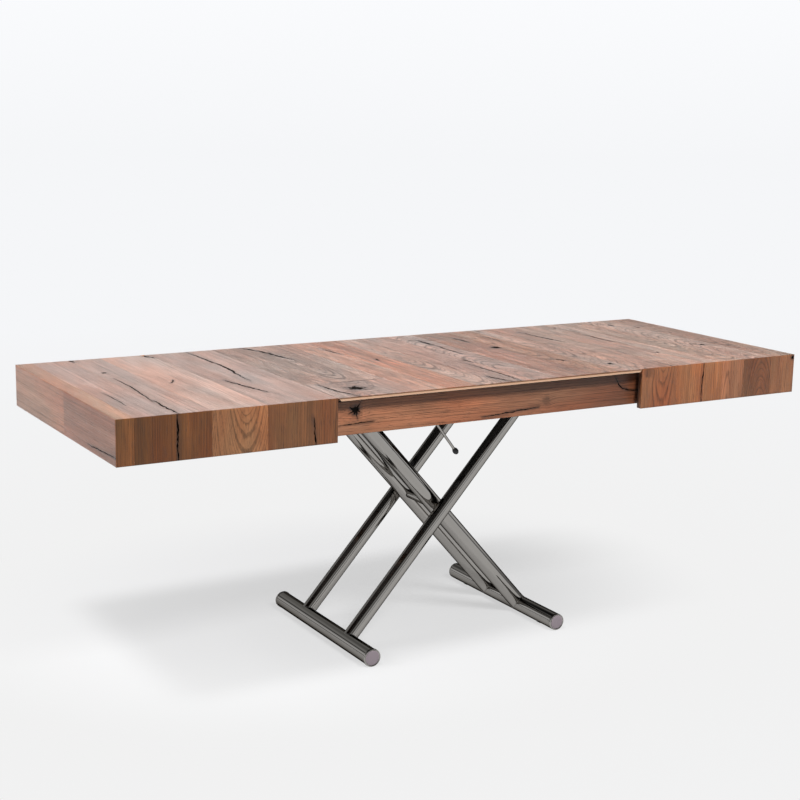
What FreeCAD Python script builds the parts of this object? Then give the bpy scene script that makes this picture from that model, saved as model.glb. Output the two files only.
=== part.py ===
import FreeCAD, Part
import Sketcher
import math
import os
import re

# Convertible coffee dining table. Millimetres, +Z up, +X along the table, -Y at the front.
# The origin lies on the floor, under the middle of the raised and extended top.

# Driving sizes: name, value, meaning.
SIZES = [
    # top
    ("top_width", 810, "width across the top"),
    ("table_height", 806, "floor to top face, fully raised"),
    ("shell_length", 600, "length of one pull-out shell"),
    ("leaf_length", 500, "length of one leaf"),
    ("shell_depth", 118, "height of the shell's side"),
    ("panel_thickness", 16, "shell top board"),
    ("skirt_thickness", 19, "shell side boards"),
    ("leaf_core_thickness", 8.5, "pale core of a leaf"),
    ("leaf_face_thickness", 1.5, "brown face of a leaf"),
    ("leaf_gap", 0.5, "joint between a leaf and its neighbours"),
    ("batten_width", 12, "batten under a leaf"),
    ("batten_setback", 30, "batten end to leaf end"),
    ("leaf_pin_radius", 4, "locating pin"),
    ("leaf_pin_length", 10, "pin below the batten"),
    ("leaf_pin_inset", 100, "pin to leaf end"),
    ("leaf_pin_clearance", 0.2, "pin to its hole, radial"),
    # wooden frame
    ("apron_thickness", 18, "apron board"),
    ("apron_setback", 15, "shell skirt to apron"),
    ("apron_rise", 9, "apron bottom above shell bottom"),
    ("panel_clearance", 3, "shell board over apron"),
    ("frame_end_clearance", 6, "closed shell to frame end"),
    ("end_rail_thickness", 18, "board across each frame end"),
    # telescopic slides
    ("slide_drop", 1, "slide below apron top"),
    ("slide_height", 45, "outer slide member"),
    ("slide_depth", 12.4, "whole slide, sideways"),
    ("slide_wall", 1.5, "rolled steel of the slides"),
    ("slide_gap", 1.5, "ball gap between members"),
    ("slide_middle_gap", 20, "slide end to the table's middle"),
    ("slide_fit", 0.3, "slide to runner"),
    ("slide_inset", 5, "slide end to frame end"),
    ("runner_thickness", 22, "wooden runner in a shell"),
    # steel subframe
    ("beam_clearance", 1, "beam under the slides"),
    ("beam_height", 29, "cross beam"),
    ("beam_width", 30, "cross beam"),
    ("beam_wall", 2, "beam and rail tube wall"),
    ("left_beam_x", 165, "left beam from the middle"),
    ("right_beam_gap", 15, "right beam clear of the leg tube"),
    ("rail_height", 22, "rail between the beams"),
    ("rail_width", 30, "rail between the beams"),
    ("rail_hole_clearance", 2, "rail to the lever shaft, radial"),
    ("track_wall", 4, "roller track"),
    ("track_depth", 25, "roller track, sideways"),
    ("roller_radius", 12, "track roller"),
    ("roller_width", 14, "track roller"),
    ("roller_clearance", 0.3, "roller to track, each side"),
    ("bracket_thickness", 6, "pivot bracket plate"),
    ("bracket_reach", 18, "plate around the pivot"),
    ("bracket_gap", 0.6, "bracket to leg"),
    # legs
    ("foot_x", 318, "floor bar from the middle, raised"),
    ("top_pivot_x", 280, "upper pivot from the middle, raised"),
    ("fold_angle", 33, "leg turn from raised to lowered"),
    ("outer_leg_radius", 21, "outer leg tube"),
    ("inner_leg_radius", 25, "inner leg tube"),
    ("leg_wall", 2, "leg tube wall"),
    ("outer_leg_y", 131, "outer leg centre from the middle"),
    ("leg_gap", 3, "between outer and inner leg"),
    ("leg_overrun", 14, "inner leg beyond its axle"),
    ("bar_radius", 25, "floor bar tube"),
    ("bar_wall", 2, "floor bar tube wall"),
    ("bar_half_length", 285, "floor bar with its cap"),
    ("cap_rim", 1, "foot cap stands out below the bar"),
    ("cap_flat", 0.4, "flat ground off the foot cap"),
    ("cap_thickness", 8, "cap outside the bar"),
    ("cap_dome", 2, "rise of the cap's face"),
    ("cap_plug", 30, "cap inside the bar"),
    ("center_tube_radius", 14, "tube at the scissor pivot"),
    ("center_tube_wall", 3, "its wall"),
    ("center_pin_radius", 8, "scissor pivot pin"),
    ("center_flange_radius", 13, "flange that spaces the legs"),
    ("bush_radius", 12, "bush in the outer leg"),
    ("bush_overlap", 8, "bush past the leg's middle"),
    ("top_pin_radius", 7, "upper pivot pin"),
    ("top_pin_plug", 12, "upper pivot pin inside the tube"),
    ("axle_radius", 8, "roller axle"),
    ("journal_radius", 6, "roller axle inside the roller"),
    ("running_fit", 0.05, "shaft in its hole, radial"),
    ("side_gap", 0.3, "face to face of moving parts"),
    # floor wheels
    ("wheel_y", 205, "wheel from the middle"),
    ("wheel_width", 15, "wheel"),
    ("wheel_offset", 11, "wheel axle off the bar axis"),
    ("wheel_room", 1.5, "around the wheel"),
    ("wheel_axle_radius", 3, "wheel axle"),
    ("carrier_length", 44, "plug that holds the wheel"),
    # gas spring and its lever
    ("crank_radius", 50, "crank pin from the upper pivot"),
    ("crank_width", 28, "crank plate at the tube"),
    ("crank_thickness", 4, "crank plate"),
    ("crank_half_gap", 8, "crank plate from the middle"),
    ("crank_pin_radius", 5, "crank pin"),
    ("slot_clearance", 0.25, "crank pin in the clevis slot"),
    ("clevis_length", 24, "rod end block"),
    ("clevis_height", 30, "rod end block"),
    ("cylinder_radius", 11, "gas spring body"),
    ("cylinder_start", 95, "body's valve end, left of the middle"),
    ("cylinder_end", 150, "body's rod end, right of the middle"),
    ("rod_radius", 5, "gas spring rod"),
    ("rod_engagement", 50, "rod inside the body"),
    ("rod_bore", 60, "depth of the rod's bore"),
    ("valve_radius", 2.5, "valve pin"),
    ("valve_engagement", 25, "valve pin inside the body"),
    ("valve_travel_room", 10, "bore beyond the valve pin"),
    ("valve_gap", 0.3, "valve pin to finger"),
    ("mount_gap", 13, "mount cheek from the middle"),
    ("mount_wall", 4, "mount cheek"),
    ("collar_length", 20, "mount around the body"),
    ("lever_y", 220, "lever from the middle, to the front"),
    ("lever_gap", 15, "lever shaft from the left beam"),
    ("lever_rise", 16, "lever shaft above beam bottom"),
    ("lever_angle", 52.4, "lever below the horizontal"),
    ("lever_length", 201, "shaft to knob end"),
    ("lever_radius", 4, "lever rod"),
    ("lever_shaft_radius", 5, "lever shaft"),
    ("lever_hub_radius", 9, "hub at the lever"),
    ("lever_hub_length", 14, "hub at the lever"),
    ("knob_length", 22, "egg-shaped knob"),
    ("knob_radius", 8.6, "egg-shaped knob"),
    ("finger_thickness", 10, "finger that presses the valve"),
    ("finger_overrun", 6, "finger above the valve axis"),
    ("bearing_length", 14, "lever shaft bearing"),
    ("bearing_height", 22, "lever shaft bearing"),
    ("bearing_inset", 8, "front bearing from the lever"),
    ("rear_bearing_y", 28, "rear bearing from the middle"),
]

# Sizes that follow from the driving ones, as formulas.
HALF_LENGTH = "(leaf_length + shell_length)"
HALF_WIDTH = "(top_width / 2)"
SHELL_INNER = "leaf_length"
SHELL_BOTTOM = "(table_height - shell_depth)"
PANEL_BOTTOM = "(table_height - panel_thickness)"
LEAF_BOTTOM = "(table_height - leaf_face_thickness - leaf_core_thickness)"
APRON_TOP = f"({PANEL_BOTTOM} - panel_clearance)"
APRON_BOTTOM = f"({SHELL_BOTTOM} + apron_rise)"
APRON_FACE = "(top_width / 2 - skirt_thickness - apron_setback)"
APRON_BACK = f"({APRON_FACE} - apron_thickness)"
FRAME_END = "(shell_length - skirt_thickness - frame_end_clearance)"
SLIDE_TOP = f"({APRON_TOP} - slide_drop)"
SLIDE_BOTTOM = f"({SLIDE_TOP} - slide_height)"
SLIDE_LENGTH = f"({FRAME_END} - slide_inset - slide_middle_gap)"
RUNNER_FACE = f"({APRON_BACK} - slide_depth - slide_fit * 2)"
BEAM_TOP = f"({SLIDE_BOTTOM} - beam_clearance)"
BEAM_BOTTOM = f"({BEAM_TOP} - beam_height)"
LEFT_BEAM_FACE = "(-left_beam_x + beam_width / 2)"
RIGHT_BEAM_FACE = "(top_pivot_x + outer_leg_radius + right_beam_gap)"
PIVOT_Z = f"({BEAM_BOTTOM} - track_wall - roller_clearance - roller_radius)"
BAR_Z = "(bar_radius + cap_rim)"
LEG_ANGLE = f"(atan(({PIVOT_Z} - {BAR_Z}) / (foot_x + top_pivot_x)))"
LEG_TILT = f"(90 deg - {LEG_ANGLE})"
LOWER_ARM = f"(foot_x / cos({LEG_ANGLE}))"
WHOLE_ARM = f"((foot_x + top_pivot_x) / cos({LEG_ANGLE}))"
CENTER_Z = f"({BAR_Z} + foot_x * tan({LEG_ANGLE}))"
OUTER_LEG_IN = "(outer_leg_y - outer_leg_radius)"
OUTER_LEG_OUT = "(outer_leg_y + outer_leg_radius)"
INNER_LEG_OUT = f"({OUTER_LEG_IN} - leg_gap)"
INNER_LEG_Y = f"({INNER_LEG_OUT} - inner_leg_radius)"
INNER_LEG_IN = f"({INNER_LEG_Y} - inner_leg_radius)"
BAR_END = "(bar_half_length - cap_thickness - side_gap)"
HALF_FOLD = "(fold_angle * 1 deg / 2)"
WHEEL_RADIUS = f"({BAR_Z} - wheel_offset * cos({HALF_FOLD}))"
WHEEL_X = f"(foot_x - wheel_offset * sin({HALF_FOLD}))"
GAS_Z = f"({PIVOT_Z} + crank_radius * (1 + cos({HALF_FOLD})) / 2)"
CRANK_PIN_X = f"(top_pivot_x - crank_radius * sin({HALF_FOLD}))"
LEVER_X = f"({LEFT_BEAM_FACE} + lever_gap)"
LEVER_Z = f"({BEAM_BOTTOM} + lever_rise)"

ORIGIN = ("0", "0", "0")
DOC = FreeCAD.newDocument("ConvertibleTable")
NAMES = [name for name, value, meaning in SIZES]
NODES = []


def fill_sheet():
    """One row per driving size: name, plain number, meaning."""
    sheet = DOC.addObject("Spreadsheet::Sheet", "Sizes")
    for row, (name, value, meaning) in enumerate(SIZES, start=1):
        sheet.set(f"A{row}", name)
        sheet.set(f"B{row}", str(value))
        sheet.set(f"C{row}", meaning)
        sheet.setAlias(f"B{row}", name)
    DOC.recompute()


def link(item, path, formula):
    """Bind a property to a formula written in the sheet's own names."""
    def full(match):
        word = match.group()
        return f"Sizes.{word}" if word in NAMES else word
    item.setExpression(path, re.sub(r"[a-z][a-z_]*", full, formula))


def place(item, at=ORIGIN, about=(0, 0, 1), angle="0 deg"):
    """Turn an item about an axis through its own origin, then move it to a point."""
    item.Placement = FreeCAD.Placement(FreeCAD.Vector(0, 0, 0), FreeCAD.Rotation(FreeCAD.Vector(*about), 1))
    link(item, "Placement.Rotation.Angle", angle)
    for letter, formula in zip("xyz", at):
        link(item, f"Placement.Base.{letter}", formula)
    return item


def along(item, direction, at=ORIGIN):
    """Place an item so that its own Z runs along X, Y or Z."""
    about, angle = {"X": ((0, 1, 0), "90 deg"), "Y": ((1, 0, 0), "-90 deg"), "Z": ((0, 0, 1), "0 deg")}[direction]
    return place(item, at, about, angle)


def box(name, size, at):
    item = DOC.addObject("Part::Box", name)
    for path, formula in zip(("Length", "Width", "Height"), size):
        link(item, path, formula)
    return place(item, at)


def cylinder(name, radius, length, at=ORIGIN, direction="Z"):
    item = DOC.addObject("Part::Cylinder", name)
    link(item, "Radius", radius)
    link(item, "Height", length)
    return along(item, direction, at)


def fuse(name, parts):
    item = DOC.addObject("Part::MultiFuse", name)
    item.Shapes = parts
    return item


def cut(name, base, tools):
    item = DOC.addObject("Part::Cut", name)
    item.Base = base
    item.Tool = tools[0] if len(tools) == 1 else fuse(name + "_tools", tools)
    return item


def tube(name, radius, wall, length, at=ORIGIN, direction="Z"):
    outside = cylinder(name + "_outside", radius, length, at, direction)
    inside = cylinder(name + "_inside", f"{radius} - {wall}", length, at, direction)
    return cut(name, outside, [inside])


def mirrored(name, source, normal):
    item = DOC.addObject("Part::Mirroring", name)
    item.Source = source
    item.Normal = FreeCAD.Vector(*normal)
    return item


def group(name, parts):
    item = DOC.addObject("Part::Compound", name)
    item.Links = parts
    return item


def both_sides(name, source):
    """The piece and its twin across the table's long centre plane, as two solids."""
    return group(name, [source, mirrored(name + "_twin", source, (0, 1, 0))])


def outline_sketch(body, plane, points):
    """A closed outline in the body's own plane, each corner held by two linked distances."""
    sketch = body.newObject("Sketcher::SketchObject", body.Name + "_outline")
    support = [item for item in body.Origin.OriginFeatures if item.Role == plane][0]
    sketch.AttachmentSupport = [(support, "")]
    sketch.MapMode = "FlatFace"
    count = len(points)
    start = [FreeCAD.Vector(math.cos(2 * math.pi * i / count), math.sin(2 * math.pi * i / count), 0)
             for i in range(count)]
    for i in range(count):
        sketch.addGeometry(Part.LineSegment(start[i], start[(i + 1) % count]))
    for i in range(count):
        sketch.addConstraint(Sketcher.Constraint("Coincident", i, 2, (i + 1) % count, 1))
    for i, (across, up) in enumerate(points):
        index = sketch.addConstraint(Sketcher.Constraint("DistanceX", -1, 1, i, 1, start[i].x))
        link(sketch, f"Constraints[{index}]", across)
        index = sketch.addConstraint(Sketcher.Constraint("DistanceY", -1, 1, i, 1, start[i].y))
        link(sketch, f"Constraints[{index}]", up)
    return sketch


def padded(name, plane, points, length):
    """A body padded from an outline: towards +X from YZ, +Y from XZ, +Z from XY."""
    body = DOC.addObject("PartDesign::Body", name)
    pad = body.newObject("PartDesign::Pad", name + "_pad")
    pad.Profile = outline_sketch(body, plane, points)
    pad.Reversed = plane == "XZ_Plane"
    link(pad, "Length", length)
    return body


def turned(name, points, at=ORIGIN, direction="Z"):
    """A body turned about its own Z from an outline of (radius, height) corners."""
    body = DOC.addObject("PartDesign::Body", name)
    sketch = outline_sketch(body, "XZ_Plane", points)
    revolution = body.newObject("PartDesign::Revolution", name + "_turn")
    revolution.Profile = sketch
    revolution.ReferenceAxis = (sketch, ["V_Axis"])
    revolution.Angle = 360
    return along(body, direction, at)


def channel(name, web, lip, low, high, wall, inward, start, length):
    """A C profile along X: web is its flat side's outer face and lip its open side, both in Y.
    The sign inward leads from the web to the lip."""
    inside = f"{web} {inward} {wall}"
    points = [(web, low), (web, high), (lip, high), (lip, f"{high} - {wall}"),
              (inside, f"{high} - {wall}"), (inside, f"{low} + {wall}"),
              (lip, f"{low} + {wall}"), (lip, low)]
    return place(padded(name, "YZ_Plane", points, length), (start, "0", "0"))


def node(item, name):
    item.Label = name
    NODES.append(item)
    return item


def leg_frame_foot_caps():
    """Caps that stand on the floor while the left bar turns on their plugs."""
    plug = "(bar_radius - bar_wall - running_fit)"
    rim = "(bar_radius + cap_rim + cap_flat)"
    face = "(cap_plug + cap_thickness)"
    points = [("0", "0"), (plug, "0"), (plug, "cap_plug"), (rim, "cap_plug"),
              (rim, f"{face} - cap_dome"), (f"{rim} * 0.6", f"{face} - cap_dome * 0.3"), ("0", face)]
    start = "(bar_half_length - cap_thickness - cap_plug)"
    cap = turned("foot_cap", points, ("-foot_x", start, BAR_Z), "Y")
    below = box("foot_cap_below", (f"{rim} * 4", f"{face} * 2", rim),
                (f"-foot_x - {rim} * 2", f"{start} - cap_plug", f"-{rim}"))
    return node(both_sides("foot_cap_pair", cut("foot_cap_ground", cap, [below])), "foot_caps")


def leg(name, radius, side_y, foot, leaning, length, tools):
    """One leg tube, fitted round its floor bar, with the cuts given in its own frame."""
    outside = cylinder(name + "_outside", radius, length)
    inside = cylinder(name + "_inside", f"{radius} - leg_wall", length)
    bar = cylinder(name + "_bar_cope", "bar_radius", f"{radius} * 4", ("0", f"-{radius} * 2", "0"), "Y")
    item = cut(name + "_fitted", outside, [inside, bar] + tools)
    return place(item, (foot, side_y, BAR_Z), (0, 1, 0), f"{leaning} * {LEG_TILT}")


def outer_legs():
    """The outer frame: left floor bar, two tubes, the upper cross tube and the lifting crank."""
    bar = tube("left_bar", "bar_radius", "bar_wall", f"{BAR_END} * 2", ("-foot_x", f"-{BAR_END}", BAR_Z), "Y")
    node(bar, "floor_bar_left")
    bush_room = cylinder("outer_leg_bush_room", "bush_radius", "outer_leg_radius + bush_overlap",
                         ("0", "-bush_overlap", LOWER_ARM), "Y")
    top_cope = cylinder("outer_leg_top_cope", "outer_leg_radius", "outer_leg_radius * 4",
                        ("0", "-outer_leg_radius * 2", WHOLE_ARM), "Y")
    front = leg("outer_leg", "outer_leg_radius", "-outer_leg_y", "-foot_x", "1", WHOLE_ARM, [bush_room, top_cope])
    node(front, "outer_leg_front")
    node(mirrored("outer_leg_twin", front, (0, 1, 0)), "outer_leg_back")
    cross = tube("outer_top_tube", "outer_leg_radius", "leg_wall", f"{OUTER_LEG_OUT} * 2",
                 ("top_pivot_x", f"-{OUTER_LEG_OUT}", PIVOT_Z), "Y")
    node(cross, "outer_cross_tube")
    plug = "(outer_leg_radius - leg_wall)"
    pin_end = "(top_pin_plug + bracket_gap + bracket_thickness + 2 * cap_dome)"
    points = [("0", "0"), (plug, "0"), (plug, "top_pin_plug"), ("top_pin_radius", "top_pin_plug"),
              ("top_pin_radius", pin_end), ("0", pin_end)]
    pin = turned("top_pin", points, ("top_pivot_x", f"{OUTER_LEG_OUT} - top_pin_plug", PIVOT_Z), "Y")
    node(both_sides("top_pin_pair", pin), "outer_pivot_pins")
    hole = "(center_pin_radius + running_fit)"
    bush_length = "(outer_leg_radius + bush_overlap)"
    points = [(hole, "0"), ("bush_radius", "0"), ("bush_radius", bush_length), (hole, bush_length)]
    bush = turned("center_bush", points, ("0", OUTER_LEG_IN, CENTER_Z), "Y")
    node(both_sides("center_bush_pair", bush), "center_bushes")
    lift_crank()


def lift_crank():
    """Two plates on the upper cross tube and the pin between them that the gas spring pulls."""
    half = "(crank_width / 2)"
    top = "(crank_radius + crank_pin_radius + crank_thickness)"
    points = [(f"-{half}", "0"), (half, "0"), (f"{half} * 0.7", top), (f"-{half} * 0.7", top)]
    blank = place(padded("crank_blank", "XZ_Plane", points, "crank_thickness"), ("0", "crank_half_gap", "0"))
    tube_room = cylinder("crank_tube_room", "outer_leg_radius", "crank_half_gap * 4",
                         ("0", "-crank_half_gap", "0"), "Y")
    pin_room = cylinder("crank_pin_room", "crank_pin_radius", "crank_half_gap * 4",
                        ("0", "-crank_half_gap", "crank_radius"), "Y")
    plate = cut("crank_plate", blank, [tube_room, pin_room])
    reach = "(crank_half_gap + crank_thickness)"
    pin = cylinder("crank_pin", "crank_pin_radius", f"{reach} * 2", ("0", f"-{reach}", "crank_radius"), "Y")
    crank = group("crank_parts", [plate, mirrored("crank_plate_twin", plate, (0, 1, 0)), pin])
    place(crank, ("top_pivot_x", "0", PIVOT_Z), (0, 1, 0), f"-{HALF_FOLD}")
    node(crank, "lift_crank")


def inner_legs():
    """The inner frame: right floor bar, two tubes, the pivot tube and pins, and the roller axle."""
    pin_room = cylinder("inner_leg_pin_room", "center_pin_radius", "inner_leg_radius * 4",
                        ("0", "-inner_leg_radius * 2", LOWER_ARM), "Y")
    axle_room = cylinder("inner_leg_axle_room", "axle_radius", "inner_leg_radius * 4",
                         ("0", "-inner_leg_radius * 2", WHOLE_ARM), "Y")
    front = leg("inner_leg", "inner_leg_radius", f"-{INNER_LEG_Y}", "foot_x", "-1",
                f"{WHOLE_ARM} + leg_overrun", [pin_room, axle_room])
    node(front, "inner_leg_front")
    node(mirrored("inner_leg_twin", front, (0, 1, 0)), "inner_leg_back")
    whole = tube("center_tube", "center_tube_radius", "center_tube_wall", f"{INNER_LEG_Y} * 2",
                 ("0", f"-{INNER_LEG_Y}", CENTER_Z), "Y")
    saddles = []
    for name, sign in (("center_saddle_front", "-"), ("center_saddle_back", "")):
        saddle = cylinder(name, "inner_leg_radius", WHOLE_ARM)
        saddles.append(place(saddle, ("foot_x", f"{sign}{INNER_LEG_Y}", BAR_Z), (0, 1, 0), f"-{LEG_TILT}"))
    node(cut("center_tube_fitted", whole, saddles), "center_cross_tube")
    flange = "(inner_leg_radius * 2)"
    flange_end = f"({flange} + leg_gap - side_gap)"
    end = f"({flange} + leg_gap + outer_leg_radius + bush_overlap)"
    points = [("0", "0"), ("center_pin_radius", "0"), ("center_pin_radius", flange),
              ("center_flange_radius", flange), ("center_flange_radius", flange_end),
              ("center_pin_radius", flange_end), ("center_pin_radius", end), ("0", end)]
    pin = turned("center_pin", points, ("0", INNER_LEG_IN, CENTER_Z), "Y")
    node(both_sides("center_pin_pair", pin), "center_pivot_pins")
    roller_axle()
    floor_bar_right()


def roller_axle():
    """Axle through the inner legs' upper ends, stepped down to a journal at each roller."""
    reach = "(outer_leg_y + roller_width / 2 + side_gap)"
    journal = "(roller_width + side_gap * 2)"
    length = f"({reach} * 2)"
    points = [("0", "0"), ("journal_radius", "0"), ("journal_radius", journal), ("axle_radius", journal),
              ("axle_radius", f"{length} - {journal}"), ("journal_radius", f"{length} - {journal}"),
              ("journal_radius", length), ("0", length)]
    axle = turned("axle", points, ("-top_pivot_x", f"-{reach}", PIVOT_Z), "Y")
    node(axle, "roller_axle")


def wheel_frame(item, side=""):
    """Move an item from a wheel's own frame, on the bar's axis, to the raised right bar."""
    return place(item, ("foot_x", f"{side}wheel_y", BAR_Z), (0, 1, 0), HALF_FOLD)


def floor_bar_right():
    """Bar with a slot for each wheel, the plugs that carry the wheels, and closed end caps."""
    half_room = "(wheel_width / 2 + wheel_room)"
    bar = tube("right_bar", "bar_radius", "bar_wall", f"{BAR_END} * 2", ("foot_x", f"-{BAR_END}", BAR_Z), "Y")
    slots = []
    for name, side in (("wheel_slot_front", "-"), ("wheel_slot_back", "")):
        slot = box(name, (f"{WHEEL_RADIUS} * 2", f"{half_room} * 2", "bar_radius"),
                   (f"-{WHEEL_RADIUS}", f"-{half_room}", "-wheel_offset - bar_radius"))
        slots.append(wheel_frame(group(name + "_placed", [slot]), side))
    node(cut("right_bar_slotted", bar, slots), "floor_bar_right")
    plug = cylinder("carrier_plug", "bar_radius - bar_wall", "carrier_length",
                    ("0", "-carrier_length / 2", "0"), "Y")
    room = box("carrier_room", (f"({WHEEL_RADIUS} + wheel_room) * 2", f"{half_room} * 2", "bar_radius * 2"),
               (f"-{WHEEL_RADIUS} - wheel_room", f"-{half_room}",
                f"{WHEEL_RADIUS} - wheel_offset + wheel_room - bar_radius * 2"))
    pin_room = cylinder("carrier_pin_room", "wheel_axle_radius", "carrier_length",
                        ("0", "-carrier_length / 2", "-wheel_offset"), "Y")
    carrier = wheel_frame(cut("carrier", plug, [room, pin_room]))
    node(both_sides("carrier_pair", carrier), "wheel_carriers")
    pin = cylinder("wheel_pin", "wheel_axle_radius", "carrier_length - wheel_room * 2",
                   ("0", "-carrier_length / 2 + wheel_room", "-wheel_offset"), "Y")
    node(both_sides("wheel_pin_pair", wheel_frame(group("wheel_pin_placed", [pin]))), "wheel_axles")
    plug_radius = "(bar_radius - bar_wall)"
    face = "(cap_plug + side_gap + cap_thickness)"
    points = [("0", "0"), (plug_radius, "0"), (plug_radius, "cap_plug"), ("bar_radius", "cap_plug"),
              ("bar_radius", f"{face} - cap_dome"), ("bar_radius * 0.6", f"{face} - cap_dome * 0.3"), ("0", face)]
    cap = turned("end_cap", points, ("foot_x", f"{BAR_END} - cap_plug", BAR_Z), "Y")
    node(both_sides("end_cap_pair", cap), "bar_end_caps")


def floor_wheels():
    """Two small wheels that let the right bar roll as the legs spread."""
    hole = "(wheel_axle_radius + running_fit)"
    edge = "wheel_room"
    points = [(hole, "0"), (f"{WHEEL_RADIUS} - {edge}", "0"), (WHEEL_RADIUS, edge),
              (WHEEL_RADIUS, f"wheel_width - {edge}"), (f"{WHEEL_RADIUS} - {edge}", "wheel_width"),
              (hole, "wheel_width")]
    wheel = turned("wheel", points, (WHEEL_X, "wheel_y - wheel_width / 2", WHEEL_RADIUS), "Y")
    node(wheel, "floor_wheel_back")
    node(mirrored("wheel_twin", wheel, (0, 1, 0)), "floor_wheel_front")


def track_rollers():
    hole = "(journal_radius + running_fit)"
    edge = "(journal_radius / 6)"
    points = [(hole, "0"), (f"roller_radius - {edge}", "0"), ("roller_radius", edge),
              ("roller_radius", f"roller_width - {edge}"), (f"roller_radius - {edge}", "roller_width"),
              (hole, "roller_width")]
    roller = turned("roller", points, ("-top_pivot_x", "outer_leg_y - roller_width / 2", PIVOT_Z), "Y")
    node(roller, "track_roller_back")
    node(mirrored("roller_twin", roller, (0, 1, 0)), "track_roller_front")


def wooden_frame():
    """Two aprons with holes for the leaf pins, and a low board across each end."""
    blank = box("apron_blank", (f"{FRAME_END} * 2", "apron_thickness", f"{APRON_TOP} - {APRON_BOTTOM}"),
                (f"-{FRAME_END}", APRON_BACK, APRON_BOTTOM))
    holes = []
    for index, x in enumerate(leaf_pin_places()):
        for side in ("-", ""):
            name = f"pin_hole_{index}_{'left' if side else 'right'}"
            holes.append(cylinder(name, "leaf_pin_radius + leaf_pin_clearance", "leaf_pin_length * 2",
                                  (f"{side}{x}", f"{APRON_FACE} - apron_thickness / 2",
                                   f"{APRON_TOP} - leaf_pin_length - leaf_pin_clearance")))
    apron = cut("apron", blank, holes)
    node(apron, "apron_back")
    node(mirrored("apron_twin", apron, (0, 1, 0)), "apron_front")
    rail = box("end_rail", ("end_rail_thickness", f"{APRON_BACK} * 2", f"{BEAM_TOP} - {APRON_BOTTOM}"),
               (f"-{FRAME_END}", f"-{APRON_BACK}", APRON_BOTTOM))
    node(group("end_rails", [rail, mirrored("end_rail_twin", rail, (1, 0, 0))]), "frame_end_rails")


def leaf_pin_places():
    """Distances of the leaf pins from the middle of the table."""
    return ("leaf_pin_inset", f"({SHELL_INNER} - leaf_pin_inset)")


def square_tube(name, size, at, open_axis):
    """A rectangular steel tube, open along X or Y."""
    inner_size = [value if letter == open_axis else f"{value} - beam_wall * 2" for letter, value in zip("XYZ", size)]
    inner_at = [value if letter == open_axis else f"{value} + beam_wall" for letter, value in zip("XYZ", at)]
    return cut(name, box(name + "_outside", size, at), [box(name + "_inside", inner_size, inner_at)])


def steel_subframe():
    """Two beams between the aprons, two rails between the beams, brackets and roller tracks."""
    size = ("beam_width", f"{APRON_BACK} * 2", "beam_height")
    left_edge = f"{LEFT_BEAM_FACE} - beam_width"
    for name, x in (("left_beam", left_edge), ("right_beam", RIGHT_BEAM_FACE)):
        label = f"cross_beam_{name.split('_')[0]}"
        node(square_tube(name, size, (x, f"-{APRON_BACK}", BEAM_BOTTOM), "Y"), label)
    rail = square_tube("rail", (f"{RIGHT_BEAM_FACE} - {LEFT_BEAM_FACE}", "rail_width", "rail_height"),
                       (LEFT_BEAM_FACE, "outer_leg_y - rail_width / 2", f"{BEAM_TOP} - rail_height"), "X")
    shaft_room = cylinder("rail_shaft_room", "lever_shaft_radius + rail_hole_clearance", "rail_width * 2",
                          (LEVER_X, "outer_leg_y - rail_width", LEVER_Z), "Y")
    node(both_sides("rail_pair", cut("rail_drilled", rail, [shaft_room])), "subframe_rails")
    start = f"-{FRAME_END} + end_rail_thickness"
    lip = "(outer_leg_y - roller_width / 2 - track_wall)"
    track = channel("track", f"({lip} + track_depth)", lip,
                    f"({PIVOT_Z} - roller_radius - roller_clearance - track_wall)", BEAM_BOTTOM,
                    "track_wall", "-", start, f"{LEFT_BEAM_FACE} - ({start})")
    node(track, "roller_track_back")
    node(mirrored("track_twin", track, (0, 1, 0)), "roller_track_front")
    near = "(top_pivot_x - bracket_reach)"
    far = f"({RIGHT_BEAM_FACE} + beam_width)"
    points = [(near, f"{PIVOT_Z} - bracket_reach"), ("top_pivot_x + bracket_reach", f"{PIVOT_Z} - bracket_reach"),
              (far, PIVOT_Z), (far, BEAM_BOTTOM), (near, BEAM_BOTTOM)]
    blank = padded("bracket_blank", "XZ_Plane", points, "bracket_thickness")
    place(blank, ("0", f"{OUTER_LEG_OUT} + bracket_gap", "0"))
    hole = cylinder("bracket_hole", "top_pin_radius + running_fit", "bracket_thickness * 3",
                    ("top_pivot_x", OUTER_LEG_OUT, PIVOT_Z), "Y")
    node(both_sides("bracket_pair", cut("bracket", blank, [hole])), "pivot_brackets")


def slides():
    """Telescopic slides: the outer member on the apron, the middle one, the inner one on the shell."""
    middle_low = f"({SLIDE_BOTTOM} + slide_wall + slide_gap)"
    middle_high = f"({SLIDE_TOP} - slide_wall - slide_gap)"
    inner_low = f"({middle_low} + slide_wall + slide_gap)"
    inner_high = f"({middle_high} - slide_wall - slide_gap)"
    closed = f"-{FRAME_END} + slide_inset"
    opened = f"{closed} - {SHELL_INNER}"
    lip = f"({APRON_BACK} - slide_depth + slide_gap)"
    profiles = (
        ("slide_outer", APRON_BACK, lip, SLIDE_BOTTOM, SLIDE_TOP, "-", closed),
        ("slide_middle", f"({APRON_BACK} - slide_wall - slide_gap)", lip, middle_low, middle_high, "-",
         f"({closed} + {opened}) / 2"),
        ("slide_inner", RUNNER_FACE, f"({RUNNER_FACE} + slide_depth / 2)", inner_low, inner_high, "+", opened),
    )
    for name, web, edge, low, high, inward, start in profiles:
        item = channel(name, web, edge, low, high, "slide_wall", inward, start, SLIDE_LENGTH)
        pair = both_sides(name + "_pair", item)
        node(pair, name + "_left")
        node(mirrored(name + "_twins", pair, (1, 0, 0)), name + "_right")


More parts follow.
